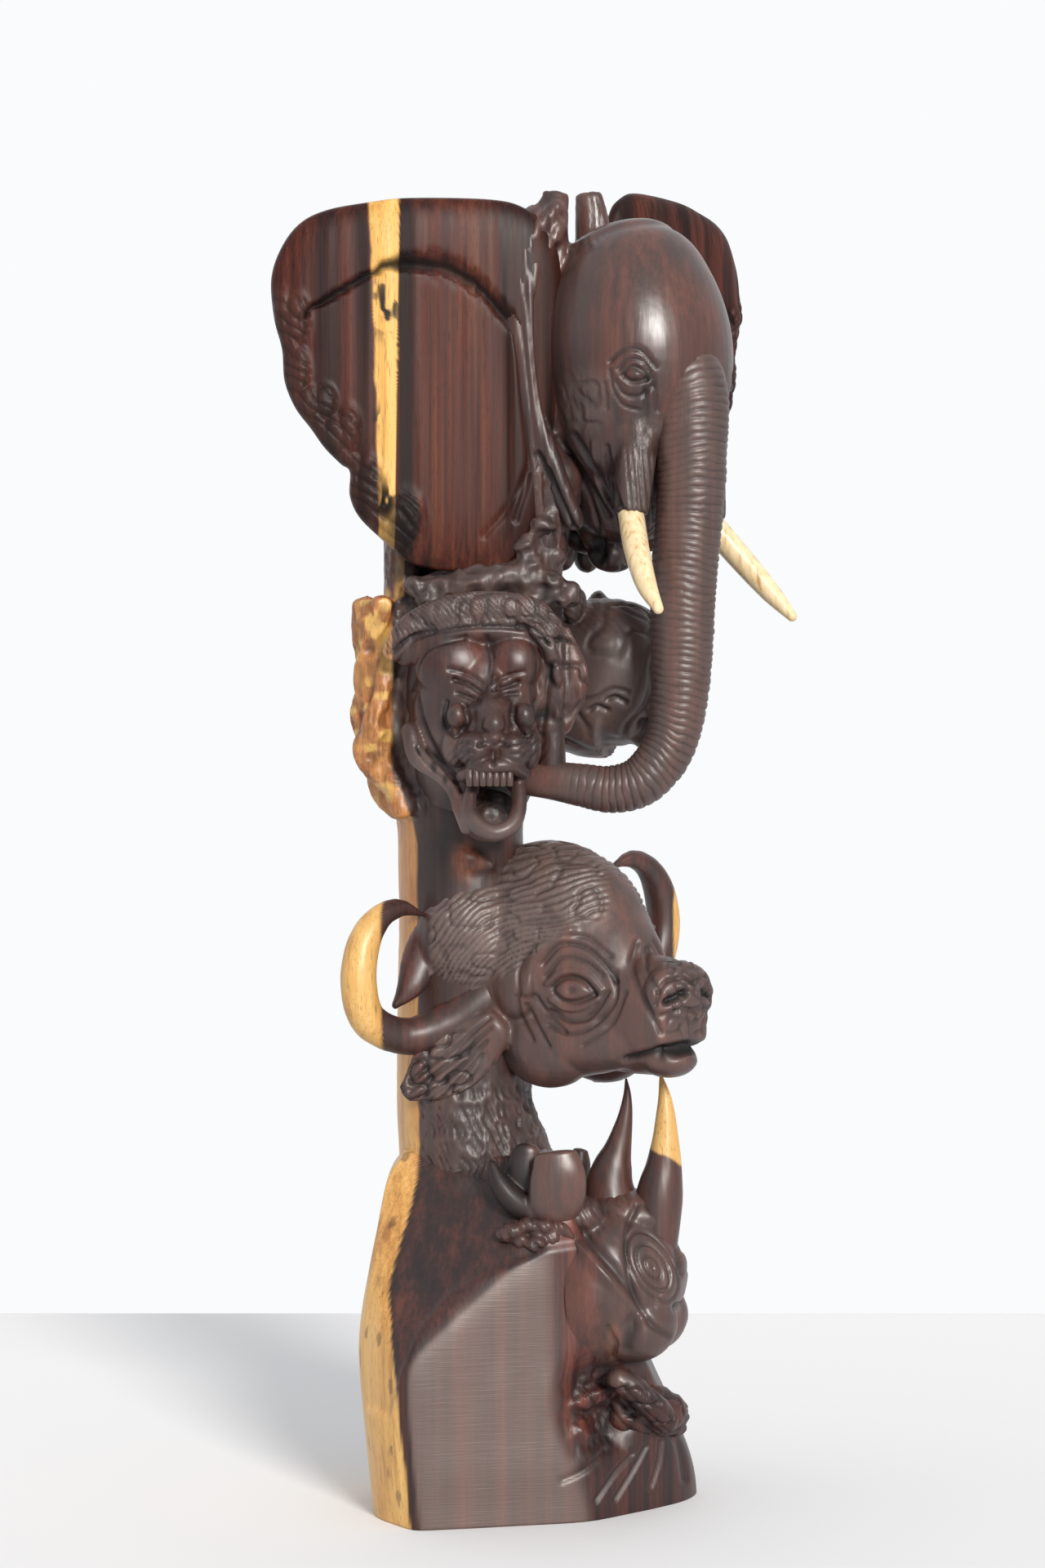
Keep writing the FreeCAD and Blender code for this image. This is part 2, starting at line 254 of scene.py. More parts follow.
def carved_wood(name, gloss=0.5, coat=0.12):
    """Waxed heartwood and sapwood. Grain runs up the log as noise squeezed across it: bands about 8 mm wide,
    fibres 1 mm, pores 0.3 mm. The mesh says where it is pale, rusty, red, scorched, filed or polished;
    where painted shade darkens cuts, hollows, pits and the ears' folds, and where the wood has its own
    dark bands; where a grey sheen is painted in together with the whitish film of dry wax; and where the
    chisel left small facets 3 to 5 mm across."""
    material = bpy.data.materials.new(name)
    material.use_nodes = True
    tree = material.node_tree
    shader = tree.nodes["Principled BSDF"]
    place = add(tree, "TexCoord").outputs["Object"]

    def grain(scale, detail=3.0, rough=0.55):
        """Noise with so many cells to a metre along each axis."""
        stretched = add(tree, "Mapping", {"Scale": scale}, {"Vector": place}).outputs[0]
        return add(tree, "TexNoise", {"Scale": 1.0, "Detail": detail, "Roughness": rough},
                   {"Vector": stretched}).outputs[0]

    def marked(attribute):
        """A mark of the mesh, from 0 to 1."""
        return add(tree, "Attribute", attribute_name=attribute).outputs["Fac"]

    bands, fibres = grain((170, 120, 3.5)), grain((800, 800, 14))
    pores, files = grain((2600, 2600, 150), 1.0), grain((60, 60, 1700), 2.0)
    blend = maths(tree, "ADD", maths(tree, "MULTIPLY", bands, 0.70), maths(tree, "MULTIPLY", fibres, 0.30))
    dark = ramp(tree, blend, [(0.36, "#150a09"), (0.47, "#25100d"), (0.56, "#381913"), (0.68, "#4d251a")])
    red = ramp(tree, blend, [(0.36, "#210d0b"), (0.46, "#411a14"), (0.55, "#5a281d"), (0.68, "#743827")])
    heart = mix(tree, marked("red"), dark, red)
    pale = ramp(tree, blend, [(0.34, "#b07c3a"), (0.46, "#cf9f55"), (0.62, "#dcb26a")])
    rust = ramp(tree, blend, [(0.36, "#5f2c16"), (0.50, "#9a5630"), (0.64, "#c07d44")])
    pale = mix(tree, marked("rust"), pale, rust)
    wood = mix(tree, marked("pale"), heart, pale)
    pore_marks = ramp(tree, pores, [(0.30, "#8a8a8a"), (0.40, "#ffffff")])
    wood = mix(tree, 0.6, wood, pore_marks, "MULTIPLY")
    # Painted sheen: a grey mixed into the colour, together with the whitish film of dry wax.
    wood = mix(tree, marked("bloom"), wood, linear("#6d5c57"))
    # Scorch marks and dark knots, and painted shade along the trough of the ears' folds.
    wood = mix(tree, marked("scorch"), wood, linear("#140d0a"))
    # Painted shade: near-black in cuts, hollows, pits and mouths, and the wood's own dark bands on the ears.
    wood = mix(tree, marked("groove"), wood, linear("#0b0504"))
    tree.links.new(wood, shader.inputs["Base Color"])

    rough = maths(tree, "ADD", maths(tree, "MULTIPLY", marked("groove"), 0.25), 0.36)
    rough = maths(tree, "ADD", rough, maths(tree, "MULTIPLY", fibres, 0.16))
    rough = maths(tree, "ADD", rough, maths(tree, "MULTIPLY", marked("polish"), -0.12))
    tree.links.new(rough, shader.inputs["Roughness"])
    shader.inputs["Specular IOR Level"].default_value = gloss
    shader.inputs["Coat Weight"].default_value = coat
    shader.inputs["Coat Roughness"].default_value = 0.30
    filed = maths(tree, "MULTIPLY", files, marked("filed"))
    height = maths(tree, "ADD", maths(tree, "MULTIPLY", fibres, 0.30), maths(tree, "MULTIPLY", filed, 0.7))
    bump = add(tree, "Bump", {"Strength": 0.35, "Distance": 0.0004}, {"Height": height})
    cells = add(tree, "Mapping", {"Scale": (330, 330, 210)}, {"Vector": place}).outputs[0]
    facets = add(tree, "TexVoronoi", {"Scale": 1.0}, {"Vector": cells}, feature="SMOOTH_F1")
    nicks = grain((1300, 1300, 500), 2.0)
    cut_height = maths(tree, "ADD", facets.outputs["Distance"], maths(tree, "MULTIPLY", nicks, 0.35))
    cut_height = maths(tree, "MULTIPLY", cut_height, marked("chisel"))
    chisel = add(tree, "Bump", {"Strength": 0.8, "Distance": 0.0010},
                 {"Height": cut_height, "Normal": bump.outputs[0]})
    tree.links.new(chisel.outputs[0], shader.inputs["Normal"])
    return material


wood = carved_wood("waxed heartwood and sapwood")
dry_wood = carved_wood("dry heartwood and sapwood", gloss=0.16, coat=0.0)
# A painted grey sheen lies on every piece of wood, 0.3 unless a piece says otherwise.
usual_marks = {"pale": 0, "rust": 0, "red": 0, "scorch": 0, "groove": 0, "filed": 0, "polish": 0,
               "bloom": 0.3, "chisel": 0}


def show(name, points, faces, nodes, material=wood, slot="heartwood", **marks):
    """Puts a surface in millimetres into a mesh, with a value at each point for each mark of the wood, and
    hides the CAD nodes that the piece stands for."""
    mesh = bpy.data.meshes.new(name)
    mesh.from_pydata((points * 0.001).tolist(), [], [f for part in faces for f in part.tolist()])
    mesh.polygons.foreach_set("use_smooth", np.ones(len(mesh.polygons), bool))
    for mark, usual in usual_marks.items() if material in (wood, dry_wood) else ():
        layer = mesh.attributes.new(mark, "FLOAT", "POINT")
        values = np.clip(np.broadcast_to(marks.get(mark, usual), len(points)), 0, 1)
        layer.data.foreach_set("value", values.astype(np.float32))
    mesh.materials.append(material)
    mesh.update()
    made = bpy.data.objects.new("carved_" + name, mesh)
    bpy.context.scene.collection.objects.link(made)
    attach(made, "root")
    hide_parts(*nodes)


def foot_surface():
    """In each direction round the log the wall stands where the nearest of several leaning planes is. A high
    power mean joins the planes and rounds their edges. A plane is its normal (x, y, z) and its distance."""
    planes = [(0.213, -0.977, 0, 50), (0.66, -0.75, 0, 48), (-0.826, -0.563, -0.095, 71.5),
              (-0.826, -0.563, 0.20, 91.3), (-1, 0, -0.11, 61), (-1, 0, 0.20, 81), (1, 0, 0.47, 68.5),
              (-0.254, -0.829, 0.499, 94.3), (0, 1, 0.5, 104), (0, 1, 0, 61), (-0.7, 0.7, 0, 60),
              (0.7, 0.7, 0, 60), (0.92, 0.38, 0, 62), (0.92, -0.38, 0, 58), (-0.92, 0.38, 0, 63)]
    rows, around = 150, 380
    axis_x, top, dome, sharp = -8, 134, 14, 26
    turn = np.linspace(0, 2 * pi, around, endpoint=False)[None, :]
    z = np.linspace(0, top, rows)[:, None]
    nearest = np.zeros((rows, around))
    for nx, ny, nz, away in planes:
        reach = (nx * np.cos(turn) + ny * np.sin(turn)) / np.maximum(away - nz * z - axis_x * nx, 4)
        nearest += np.maximum(reach, 0) ** sharp
    radius = nearest ** (-1 / sharp) * (1 - 0.09 * ease(z, top - dome, top) ** 2)
    wall = np.stack([axis_x + radius * np.cos(turn), radius * np.sin(turn), z + 0 * turn], axis=2)
    return np.vstack([[[axis_x, 0, 0]], wall.reshape(-1, 3), [[axis_x, 0, top]]]), ring_faces(rows, around)


rhino = middle_of("rhino_head", (-17.3, 3.0, 0.4))
points, faces = foot_surface()
normal = normals_of(points, faces[0])
px, py, pz = points.T
x, z = px - rhino[0], pz - rhino[2]
front = ease(-normal[:, 1], 0.1, 0.5)

# The dressed flat ends above in an arch, and the hollow under the rhino's chin has rough lumps in it.
arch = np.interp(px, [-54, -49.5, -43, -31, -14.6, -1, 4.5, 14], [40, 58, 73, 87, 94, 98.5, 101, 102])
shoulder = ease(pz - arch, -1.0, 3.0) * front
shifted = x + 2.5 * wander(points, 7, 1), z + 2.5 * wander(points, 7, 2)
hollow = knob(*shifted, 11.5, -44, 14.5, 17) * front
lump = np.maximum(knob(*shifted, 12, -42, 12, 4), knob(*shifted, 6, -53, 7, 5))
rough = wander(points, 3.5, 3) + 0.6 * wander(points, 1.8, 4)

# Slits between the toes, the creases of the paw, and hair strokes where the foot turns into the spine.
slits = front * cuts(x, z, [(1.0, 1.5, [(23, -64), (16, -70), (8.5, -79)]),
                            (1.0, 1.5, [(28, -62), (23, -70), (16, -80)]),
                            (1.0, 1.5, [(34, -61), (33, -69), (30, -78)])])
relief = -8 * hollow + 4.0 * hollow * lump + 1.0 * rough * hollow + slits - 1.4 * shoulder
relief += front * cuts(x, z, [(1.1, 1.2, [(14, -61), (4, -67), (-4, -70)]),
                              (1.4, 1.5, [(38, -58), (42, -66), (44, -78)])])
fur = ease(pz + 0.25 * px + 4 * wander(points, (5, 5, 8), 9), 112, 122) * front * ease(px, -46, -42)
strokes = furrow(px + 0.45 * pz + 4.0 * wander(points, (9, 9, 7), 23), 3.0)
relief += 0.25 * wander(points, (9, 9, 14), 5) - 1.1 * fur * strokes
points = points + normal * relief[:, None]

# Sapwood left of one wavy edge, with a few small dark knots; a painted grey sheen and the dust of filing on
# the
# # flat, brightest in a painted highlight arc under the arch; red glow right of it.
px, py, pz = points.T
sap_edge = np.interp(pz, [-3, 58, 78, 87, 111, 125, 146], [-45.5, -51.7, -54, -54.5, -48, -44.4, -44.4])
pale = ease(sap_edge + 0.3 * wander(points, (3, 3, 9), 6) - px, -0.4, 0.4)
flat = ease(normal[:, 0] * 0.213 - normal[:, 1] * 0.977, 0.93, 0.98) * ease(arch - pz, 0, 3) * (1 - hollow)
flat *= ease(np.interp(pz, [0, 20, 45, 100], [22, 14, 7, 5]) - px, -5, 4)
sheen = flat * ease(pz - arch, -18, -2)
glow = ease(px, 3, 9) * ease(30 - px, 0, 8) * front * ease(pz, 20, 40)
knots = ease(wander(points, (4, 4, 8), 8), 0.55, 0.7) * 0.55
# Painted shade darkens the hollow under the chin, the hair strokes and the toe slits; the slits also get a
# painted grey highlight.
show("foot_block", points, faces, ["rhino_block", "sapwood_block_edge"], pale=pale, scorch=knots * pale,
     red=0.25 * flat + 0.7 * glow + 0.5 * hollow * lump,
     rust=0.12 + 0.25 * ease(pz, 90, 140) + 0.35 * wander(points, (12, 12, 30), 7),
     groove=0.6 * hollow * (1 - lump) + 0.4 * fur * strokes - 0.3 * slits,
     filed=np.maximum(flat, 0.35 * shoulder * (1 - fur)), chisel=hollow + 0.4 * fur,
     bloom=(0.55 * flat + 0.25 * sheen + 0.02 * shoulder + 0.15 * fur - 0.12 * slits) * (1 - pale))


# ------------------------------------------------------------------ the rhino's head
# It hugs the right of the block, looking right, with a cupped ear, two upright horns and ringed eyes.
# Carved from the same log: roughed out, rounded, and lined with a small gouge.
def heading(degrees):
    """The level directions ahead and to the right of a head: 0 looks along +X, 90 at the display side."""
    a = radians(degrees)
    return np.array([cos(a), -sin(a), 0]), np.array([-sin(a), -cos(a), 0])


def placed(anchor, degrees, ahead, right, up):
    """A point told by how far it lies ahead, to the right and up of an anchor."""
    forward, side = heading(degrees)
    return anchor + forward * ahead + side * right + np.array([0, 0, up])


def limb(path, wide, high=None, across=(0, 0, 1), rows=40, around=32, cap=1.0):
    """Ovals square to a smooth path, with half widths wide along the across direction and high along the
    other; each end closes with a quarter circle of ovals, which cap stretches or flattens."""
    high = wide if high is None else high
    line = smooth_path(np.column_stack([path, wide, high]), rows)
    centre, w, h = line[:, :3], np.maximum(line[:, 3], 0.05), np.maximum(line[:, 4], 0.05)
    along = np.gradient(centre, axis=0)
    along /= np.linalg.norm(along, axis=1)[:, None]
    a = np.asarray(across, float) - along * (along @ np.asarray(across, float))[:, None]
    a /= np.linalg.norm(a, axis=1)[:, None]
    b = np.cross(along, a)
    lean = np.linspace(0, pi / 2, 7)[1:-1]
    start = [(centre[0] - along[0] * cap * min(w[0], h[0]) * sin(t), a[0], b[0], w[0] * cos(t), h[0] * cos(t))
             for t in lean[::-1]]
    end = [(centre[-1] + along[-1] * cap * min(w[-1], h[-1]) * sin(t), a[-1], b[-1], w[-1] * cos(t),
            h[-1] * cos(t)) for t in lean]
    body = list(zip(centre, a, b, w, h))
    sections = start + body + end
    c, a, b, w, h = (np.array([s[k] for s in sections]) for k in range(5))
    turn = np.linspace(0, 2 * pi, around, endpoint=False)
    rings = (c[:, None] + a[:, None] * (w[:, None] * np.cos(turn))[..., None]
             + b[:, None] * (h[:, None] * np.sin(turn))[..., None])
    poles = [centre[0] - along[0] * cap * min(w[5], h[5]), centre[-1] + along[-1] * cap * min(w[-6], h[-6])]
    return np.vstack([poles[0], rings.reshape(-1, 3), poles[1]]), ring_faces(len(sections), around)


def blob(centre, half, degrees=0.0, tilt=0.0):
    """A ball stretched to three half sizes (ahead, sideways, up), its nose tilted up, then turned to a
    heading. Rings of latitude close at a pole point below and above."""
    rows, around = 16, 28
    lat = np.linspace(-pi / 2, pi / 2, rows + 2)[1:-1, None]
    lon = np.linspace(0, 2 * pi, around, endpoint=False)[None, :]
    ball = np.stack([np.cos(lat) * np.cos(lon), np.cos(lat) * np.sin(lon), np.sin(lat) + 0 * lon], axis=2)
    ball = np.vstack([[0, 0, -1], ball.reshape(-1, 3), [0, 0, 1]]) * np.array(half, float)
    t = radians(tilt)
    ball = ball @ np.array([[cos(t), 0, sin(t)], [0, 1, 0], [-sin(t), 0, cos(t)]])
    forward, side = heading(degrees)
    turned = ball[:, :1] * forward - ball[:, 1:2] * side + ball[:, 2:] * [0, 0, 1]
    return np.asarray(centre) + turned, ring_faces(rows, around)


def twins(at, ahead, side, up, half, degrees=0.0):
    """The same ball on the right and on the left of a head."""
    return [blob(at(ahead, side, up), half, degrees), blob(at(ahead, -side, up), half, degrees)]


def mass(lumps, voxel=0.9, passes=4):
    """One closed skin round all the lumps, laid out in even squares of the voxel's size; then, in each pass,
    every point moves to the mean of itself and its neighbours."""
    points, faces, start = [], [], 0
    for p, (quads, tris) in lumps:
        points.append(p)
        faces += (quads + start).tolist() + (tris + start).tolist()
        start += len(p)
    rough = bpy.data.meshes.new("rough")
    rough.from_pydata((np.vstack(points) * 0.001).tolist(), [], faces)
    holder = bpy.data.objects.new("rough", rough)
    bpy.context.scene.collection.objects.link(holder)
    remesh = holder.modifiers.new("skin", "REMESH")
    remesh.mode, remesh.voxel_size = "VOXEL", voxel * 0.001
    skin = bpy.data.meshes.new_from_object(holder.evaluated_get(bpy.context.evaluated_depsgraph_get()))
    p = np.empty(len(skin.vertices) * 3)
    skin.vertices.foreach_get("co", p)
    quads = np.empty(len(skin.loops), int)
    skin.loops.foreach_get("vertex_index", quads)
    bpy.data.objects.remove(holder)
    bpy.data.meshes.remove(rough)
    bpy.data.meshes.remove(skin)
    p, quads = p.reshape(-1, 3) * 1000, quads.reshape(-1, 4)
    ends = np.concatenate([quads.ravel(), np.roll(quads, -1, axis=1).ravel()])
    others = np.concatenate([np.roll(quads, -1, axis=1).ravel(), quads.ravel()])
    count = np.bincount(ends, minlength=len(p))
    for _ in range(passes):
        mean = np.stack([np.bincount(ends, p[others, k], len(p)) for k in range(3)], axis=1) / count[:, None]
        p = 0.45 * p + 0.55 * mean
    return p, quads


def seen(points, normal, anchor, degrees):
    """The points as seen from the display side, the far half of a head folded over onto its near half:
    (x and z from the anchor, how squarely it faces the viewer, the share of the near side)."""
    side = heading(degrees)[1]
    off = (points - anchor) @ side
    far = np.minimum(off, 0)[:, None]
    folded = points - 2 * far * side - anchor
    turned = np.where(off[:, None] < 0, normal - 2 * (normal @ side)[:, None] * side, normal)
    return folded[:, 0], folded[:, 2], ease(-turned[:, 1], 0.0, 0.4)


def rings(x, z, centre, pitch, depth, reach, tall=1.0):
    """Round furrows about a centre, one per pitch, that fade out at reach; tall stretches them upwards."""
    d = np.hypot(x - centre[0], (z - centre[1]) / tall)
    return -depth * np.cos(pi * d / pitch) ** 8 * ease(reach - d, 0, 0.3 * reach)


rhino_turn = 14
at = partial(placed, rhino, rhino_turn)
rhino_side = heading(rhino_turn)[1]
lumps = [limb([at(a, 0, c) for a, c in ((-30, 10), (-8, 4), (12, -2), (26, -6), (35, -9))],
              [15, 27.5, 33, 27, 19], [22, 31, 34, 29, 22], across=rhino_side, cap=0.35, around=48),
         *twins(at, 26, 10, -14, (17, 15, 15)), blob(at(20, 0, 25), (22, 15, 10)),
         limb([rhino + [17, -25, -34], rhino + [27, -23, -41], rhino + [35, -15, -51]], [4.5, 5.5, 5]),
         limb([rhino + [20, -6, -48], rhino + [32, -2, -50], rhino + [37, 6, -54]], [11, 10, 9]),
         limb([rhino + [-24, -22, 20], rhino + [-10, -24, 22], rhino + [4, -20, 26]], [6, 7, 8])]
for k in range(7):
    wart = rhino + [-25 + 2.8 * k, -30 - 1.5 * sin(1.9 * k), 21 + 3.5 * sin(2.7 * k)]
    lumps.append(blob(wart, (4, 4, 3.2)))
points, quads = mass(lumps, voxel=0.7)
normal = normals_of(points, quads)
x, z, square = seen(points, normal, rhino, rhino_turn)
head = ease(z, -37, -33)
chips = np.abs(wander(points, (11, 11, 7), 10))
creases = [(2.4, 1.7, [(-6, 30), (8, 16), (18, 4), (23, -8), (20, -22)]),
           (2.2, -1.6, [(-4, 24), (9, 10), (19, -1), (25, -10)]),
           (1.2, 1.2, [(24, 30), (20, 20), (21, 6), (27, -10), (36, -18)]),
           (1.0, 1.0, [(28, 30), (37, 20), (41, 4)]), (1.3, 2.0, [(39, -8), (42, -9)]),
           (0.8, 1.0, [(13, -13), (16, -20), (15, -26)]), (1.0, 1.0, [(-14, 18), (-6, 8), (-4, -10)])]
relief = square * head * (rings(x + 0.42 * (z - 8), z, (30, 8), 2.7, 1.0, 10.5, 1.6) + cuts(x, z, creases))
relief -= (1 - head) * (1.3 * ease(0.3 - chips, 0, 0.3) + square * 0.9 * furrow(x + 0.9 * z, 7.0))
relief -= 0.6 * square * ease(z - 0.9 * x, 8, 16) * furrow(x + 0.6 * z + 2 * wander(points, 9, 14), 3.6)
relief += 0.12 * wander(points, 4, 11)
points = points + normal * relief[:, None]
scar = knob(x, z, 15.5, -19, 2.6, 7) * square
# Painted shade darkens the cuts and chips; a painted grey sheen lies on the head, more towards its front.
show("rhino_head", points, [quads], ["rhino_head"], pale=0.15 * scar, rust=scar,
     red=0.18 + 0.6 * scar + 0.5 * ease(10 - x, 0, 14) * ease(14 - z, 0, 6), groove=-0.42 * relief,
     bloom=0.16 * head + 0.12 * ease(x, 8, 20) * head, polish=0.4 * head * ease(x, 0, 12),
     chisel=0.9 * (1 - head) + 0.5 * ease(-4 - x, 0, 6) * ease(z, 12, 16))


def horn(name, path, radii, across, pale, **marks):
    """A smooth tapering tube, with pale worked out from its points; across points out of the path's plane."""
    points, faces = limb(path, radii, rows=110, around=48, across=across)
    points = points + normals_of(points, faces[0]) * (0.12 * wander(points, (2, 2, 9), 13))[:, None]
    show(name, points, faces, [name], pale=pale(points), **marks)


def pale_tip(p):
    """Sapwood above a slanting edge near the top of the front horn."""
    edge = 47.5 - 0.55 * (p[:, 0] - rhino[0] - 36) - 0.8 * wander(p, (3, 3, 12), 12)
    return ease(p[:, 2] - rhino[2] - edge, -0.6, 0.6)


def all_dark(p):
    """No sapwood anywhere."""
    return np.zeros(len(p))


for name, path, radii, pale in (
        ("rhino_rear_horn",
         [(14.5, 29), (14.5, 37), (15.8, 44), (17.8, 51), (20.2, 62), (21.0, 70), (20.6, 76)],
         [11, 9.0, 7.2, 4.9, 2.8, 1.6, 0.5], all_dark),
        ("rhino_front_horn", [(31, 14), (33, 32), (34.8, 45), (35.4, 56), (35.2, 68), (33.6, 78)],
         [9.0, 9.0, 6.6, 4.7, 2.8, 0.6], pale_tip)):
    line = [at(1.03 * ahead, 0, up) for ahead, up in path]
    # Both horns get a painted grey sheen.
    horn(name, line, radii, rhino_side, pale, red=0.2, rust=0.05, bloom=0.15)

# The near ear is a cup of three overlapping leaves; the far one is a plain stub behind the head.
shell = [limb([(5, -39, 110), (7.5, -45, 118), (8.5, -48, 128), (7.5, -48, 137)], [8, 10.5, 10.5, 8],
              [5, 5, 4.5, 3.5], across=(1, 0, 0), cap=0.35, around=48),
         limb([(2, -40, 113), (-7, -43, 118), (-13, -43, 125), (-16, -42, 132)], [5, 5, 4.5, 2.5],
              [5, 5, 4, 2], across=(0, 1, 0)),
         limb([(3, -38, 118), (-4, -39, 128), (-3, -39, 137)], [6, 7, 5], [4, 4, 3], across=(1, 0, 0))]
points, quads = mass(shell, voxel=0.6)
inner = ease(-2.5 - points[:, 0], -1.5, 1.5)
# Painted shade fills the inside of the cup; the outer leaves are redder and polished, with a painted grey
# sheen.
show("rhino_ear_right", points, [quads], ["rhino_ear_right"], red=0.35 * (1 - inner), groove=0.75 * inner,
     bloom=0.32 * (1 - inner), polish=0.6 * (1 - inner))
points, faces = limb([(12, 9, 108), (15, 12, 118), (17, 13, 126), (18, 13, 131)], [6, 6, 5, 3],
                     [5, 4.5, 4, 2.5], across=heading(rhino_turn)[0], cap=0.4)
show("rhino_ear_left", points, faces, ["rhino_ear_left"], red=0.2)


# ------------------------------------------------------------------ the spine
# The middle of the log, from the shoulder of the foot to the elephant. Its back and left edge keep the
# sapwood, knobbed beside the lion, and the wood between the heads is left rough from the gouge.
slices = [(104, -20, 33, 30), (128, -23, 30, 33), (150, -27, 26.5, 32), (175, -26, 27.5, 30),
          (205, -24, 29, 30), (240, -28, 25, 29), (262, -29, 25, 29), (279, -29, 32, 29), (300, -28, 36, 31),
          (328, -28, 36, 30), (343, -25, 31, 26)]
level, middle, half_wide, half_deep = np.array(slices, float).T
across = (1, 0, 0)
lumps = [limb(np.stack([middle, 7 + 0 * level, level], axis=1), half_wide, half_deep, across=across, cap=0.3,
              rows=80, around=64),
         limb([(-33, -17, 247), (-26, -19.5, 245), (-16, -19.5, 243)], [3, 4.5, 1.5], [5, 5.5, 2],
              across=(0, 1, 0)),
         limb([(-50, 4, 320), (-50, 4, 352), (-50, 4, 392)], [9, 8.5, 9], [16, 15, 14], across=across,
              cap=0.3),
         limb([(-28, 12, 320), (-26, 12, 360), (-14, 10, 400)], [20, 17, 20], [14, 13, 14], across=across),
         limb([(0, -6, 330), (2, -8, 362), (8, -8, 390)], [11, 9.5, 12], across=across),
         limb([(-38, -13, 346), (-22, -16, 350), (-3, -15, 352)], [9, 9, 8])]
# Four wavy ropes of sapwood run down the left edge beside the lion.
wave = np.linspace(0, 1, 14)
edge_line = np.interp(wave, [0, 0.25, 0.7, 0.85, 1], [-64.5, -63.5, -63.5, -58, -51])
for shift, phase, deep, wide in ((0.0, 0.0, -13, 4.6), (5.5, 2.2, -17, 4.4), (9.5, 4.2, -14, 4.0),
                                 (-1.0, 3.4, -4, 5.0)):
    run_x = edge_line + shift * (1 - 0.5 * wave) + 1.6 * np.sin(15 * wave + phase)
    run_y = deep - 2.0 * np.sin(11 * wave + phase)
    radii = wide + 0.9 * np.sin(19 * wave + phase), 4.0 + 0.7 * np.sin(23 * wave)
    lumps.append(limb(np.stack([run_x, run_y, 342 - 78 * wave], axis=1), *radii, across=across, rows=90))
# A row of knobs lies under the ear, and a clump of them under the elephant's chin.
for k in range(14):
    knob_at = -46 + 4.6 * k, -17 - 2.5 * sin(1.7 * k), 346 + 3.2 * cos(2.3 * k)
    lumps.append(blob(knob_at, (4.5, 4, 4.5 + sin(3 * k))))
for k in range(10):
    lumps.append(blob((1 + 6 * sin(2.4 * k), -15 + 3 * cos(3.1 * k), 340 + 3.6 * k), (6, 5, 4.5)))
points, quads = mass(lumps, voxel=1.0, passes=3)
normal = normals_of(points, quads)
px, py, pz = points.T
torn = ease(pz, 262, 270) * ease(392 - pz, 0, 12) * ease(-normal[:, 1], 0.0, 0.3)
hairy = ease(pz, 110, 118) * ease(164 - pz, 0, 8) * ease(px, -46, -42)
facets = np.abs(wander(points, (5, 5, 7), 21)) + 0.5 * np.abs(wander(points, (2.4, 2.4, 3.4), 22))
strokes = furrow(px + 0.45 * pz + 4.0 * wander(points, (9, 9, 7), 23), 3.0)
facing = ease(-normal[:, 1], -0.2, 0.4)
relief = (-1.5 * torn * facets - 1.1 * hairy * strokes * facing * ease(facets, 0.1, 0.5)
          - 0.7 * hairy * facets - 0.2 * facets)
points = points + normal * relief[:, None]

# The places on the wood are still those before the cuts: px, py, pz.
sap_edge = np.interp(pz, [125, 227, 251, 263, 274, 279, 344, 346, 400],
                     [-44.4, -44.8, -44.8, -47.6, -51.4, -53.8, -53.8, -50, -50])
pale = ease(sap_edge + 0.4 * wander(points, (3, 3, 10), 24) - px, -0.5, 0.5)
rust = np.interp(pz, [130, 150, 200, 250, 290, 344, 350, 400], [0.25, 0.3, 0.45, 0.75, 0.75, 0.7, 1.0, 1.0])
ragged = torn * ease(wander(points, (6, 6, 5), 26), 0.15, 0.45)
rust = rust + 0.25 * wander(points, (7, 7, 14), 25) - 0.9 * ragged
leaf = knob(px, pz, -25, 244.5, 8.5, 7) * ease(-py, 20.5, 22.5)
specks = torn * ease(-wander(points, (3, 3, 6), 27), 0.3, 0.6)
burnt = 0.6 * knob(px, pz, -40, 243, 10, 16) * (1 - pale) * (1 - leaf)
# Painted shade in the gouge marks; a painted grey sheen on the heartwood, stronger on the torn and hairy
# patches.
show("spine", points, [quads], ["spine", "sapwood_spine_edge"], pale=np.maximum(pale, 0.45 * leaf),
     red=0.05 + 0.9 * leaf, rust=rust + leaf, chisel=0.25 * torn + 0.35 * hairy,
     scorch=burnt + pale * (0.75 * ease(pz, 346, 352) + 0.35 * specks),
     groove=-0.42 * relief * (1 - 0.5 * pale), bloom=(0.12 + 0.2 * torn + 0.15 * hairy) * (1 - pale))


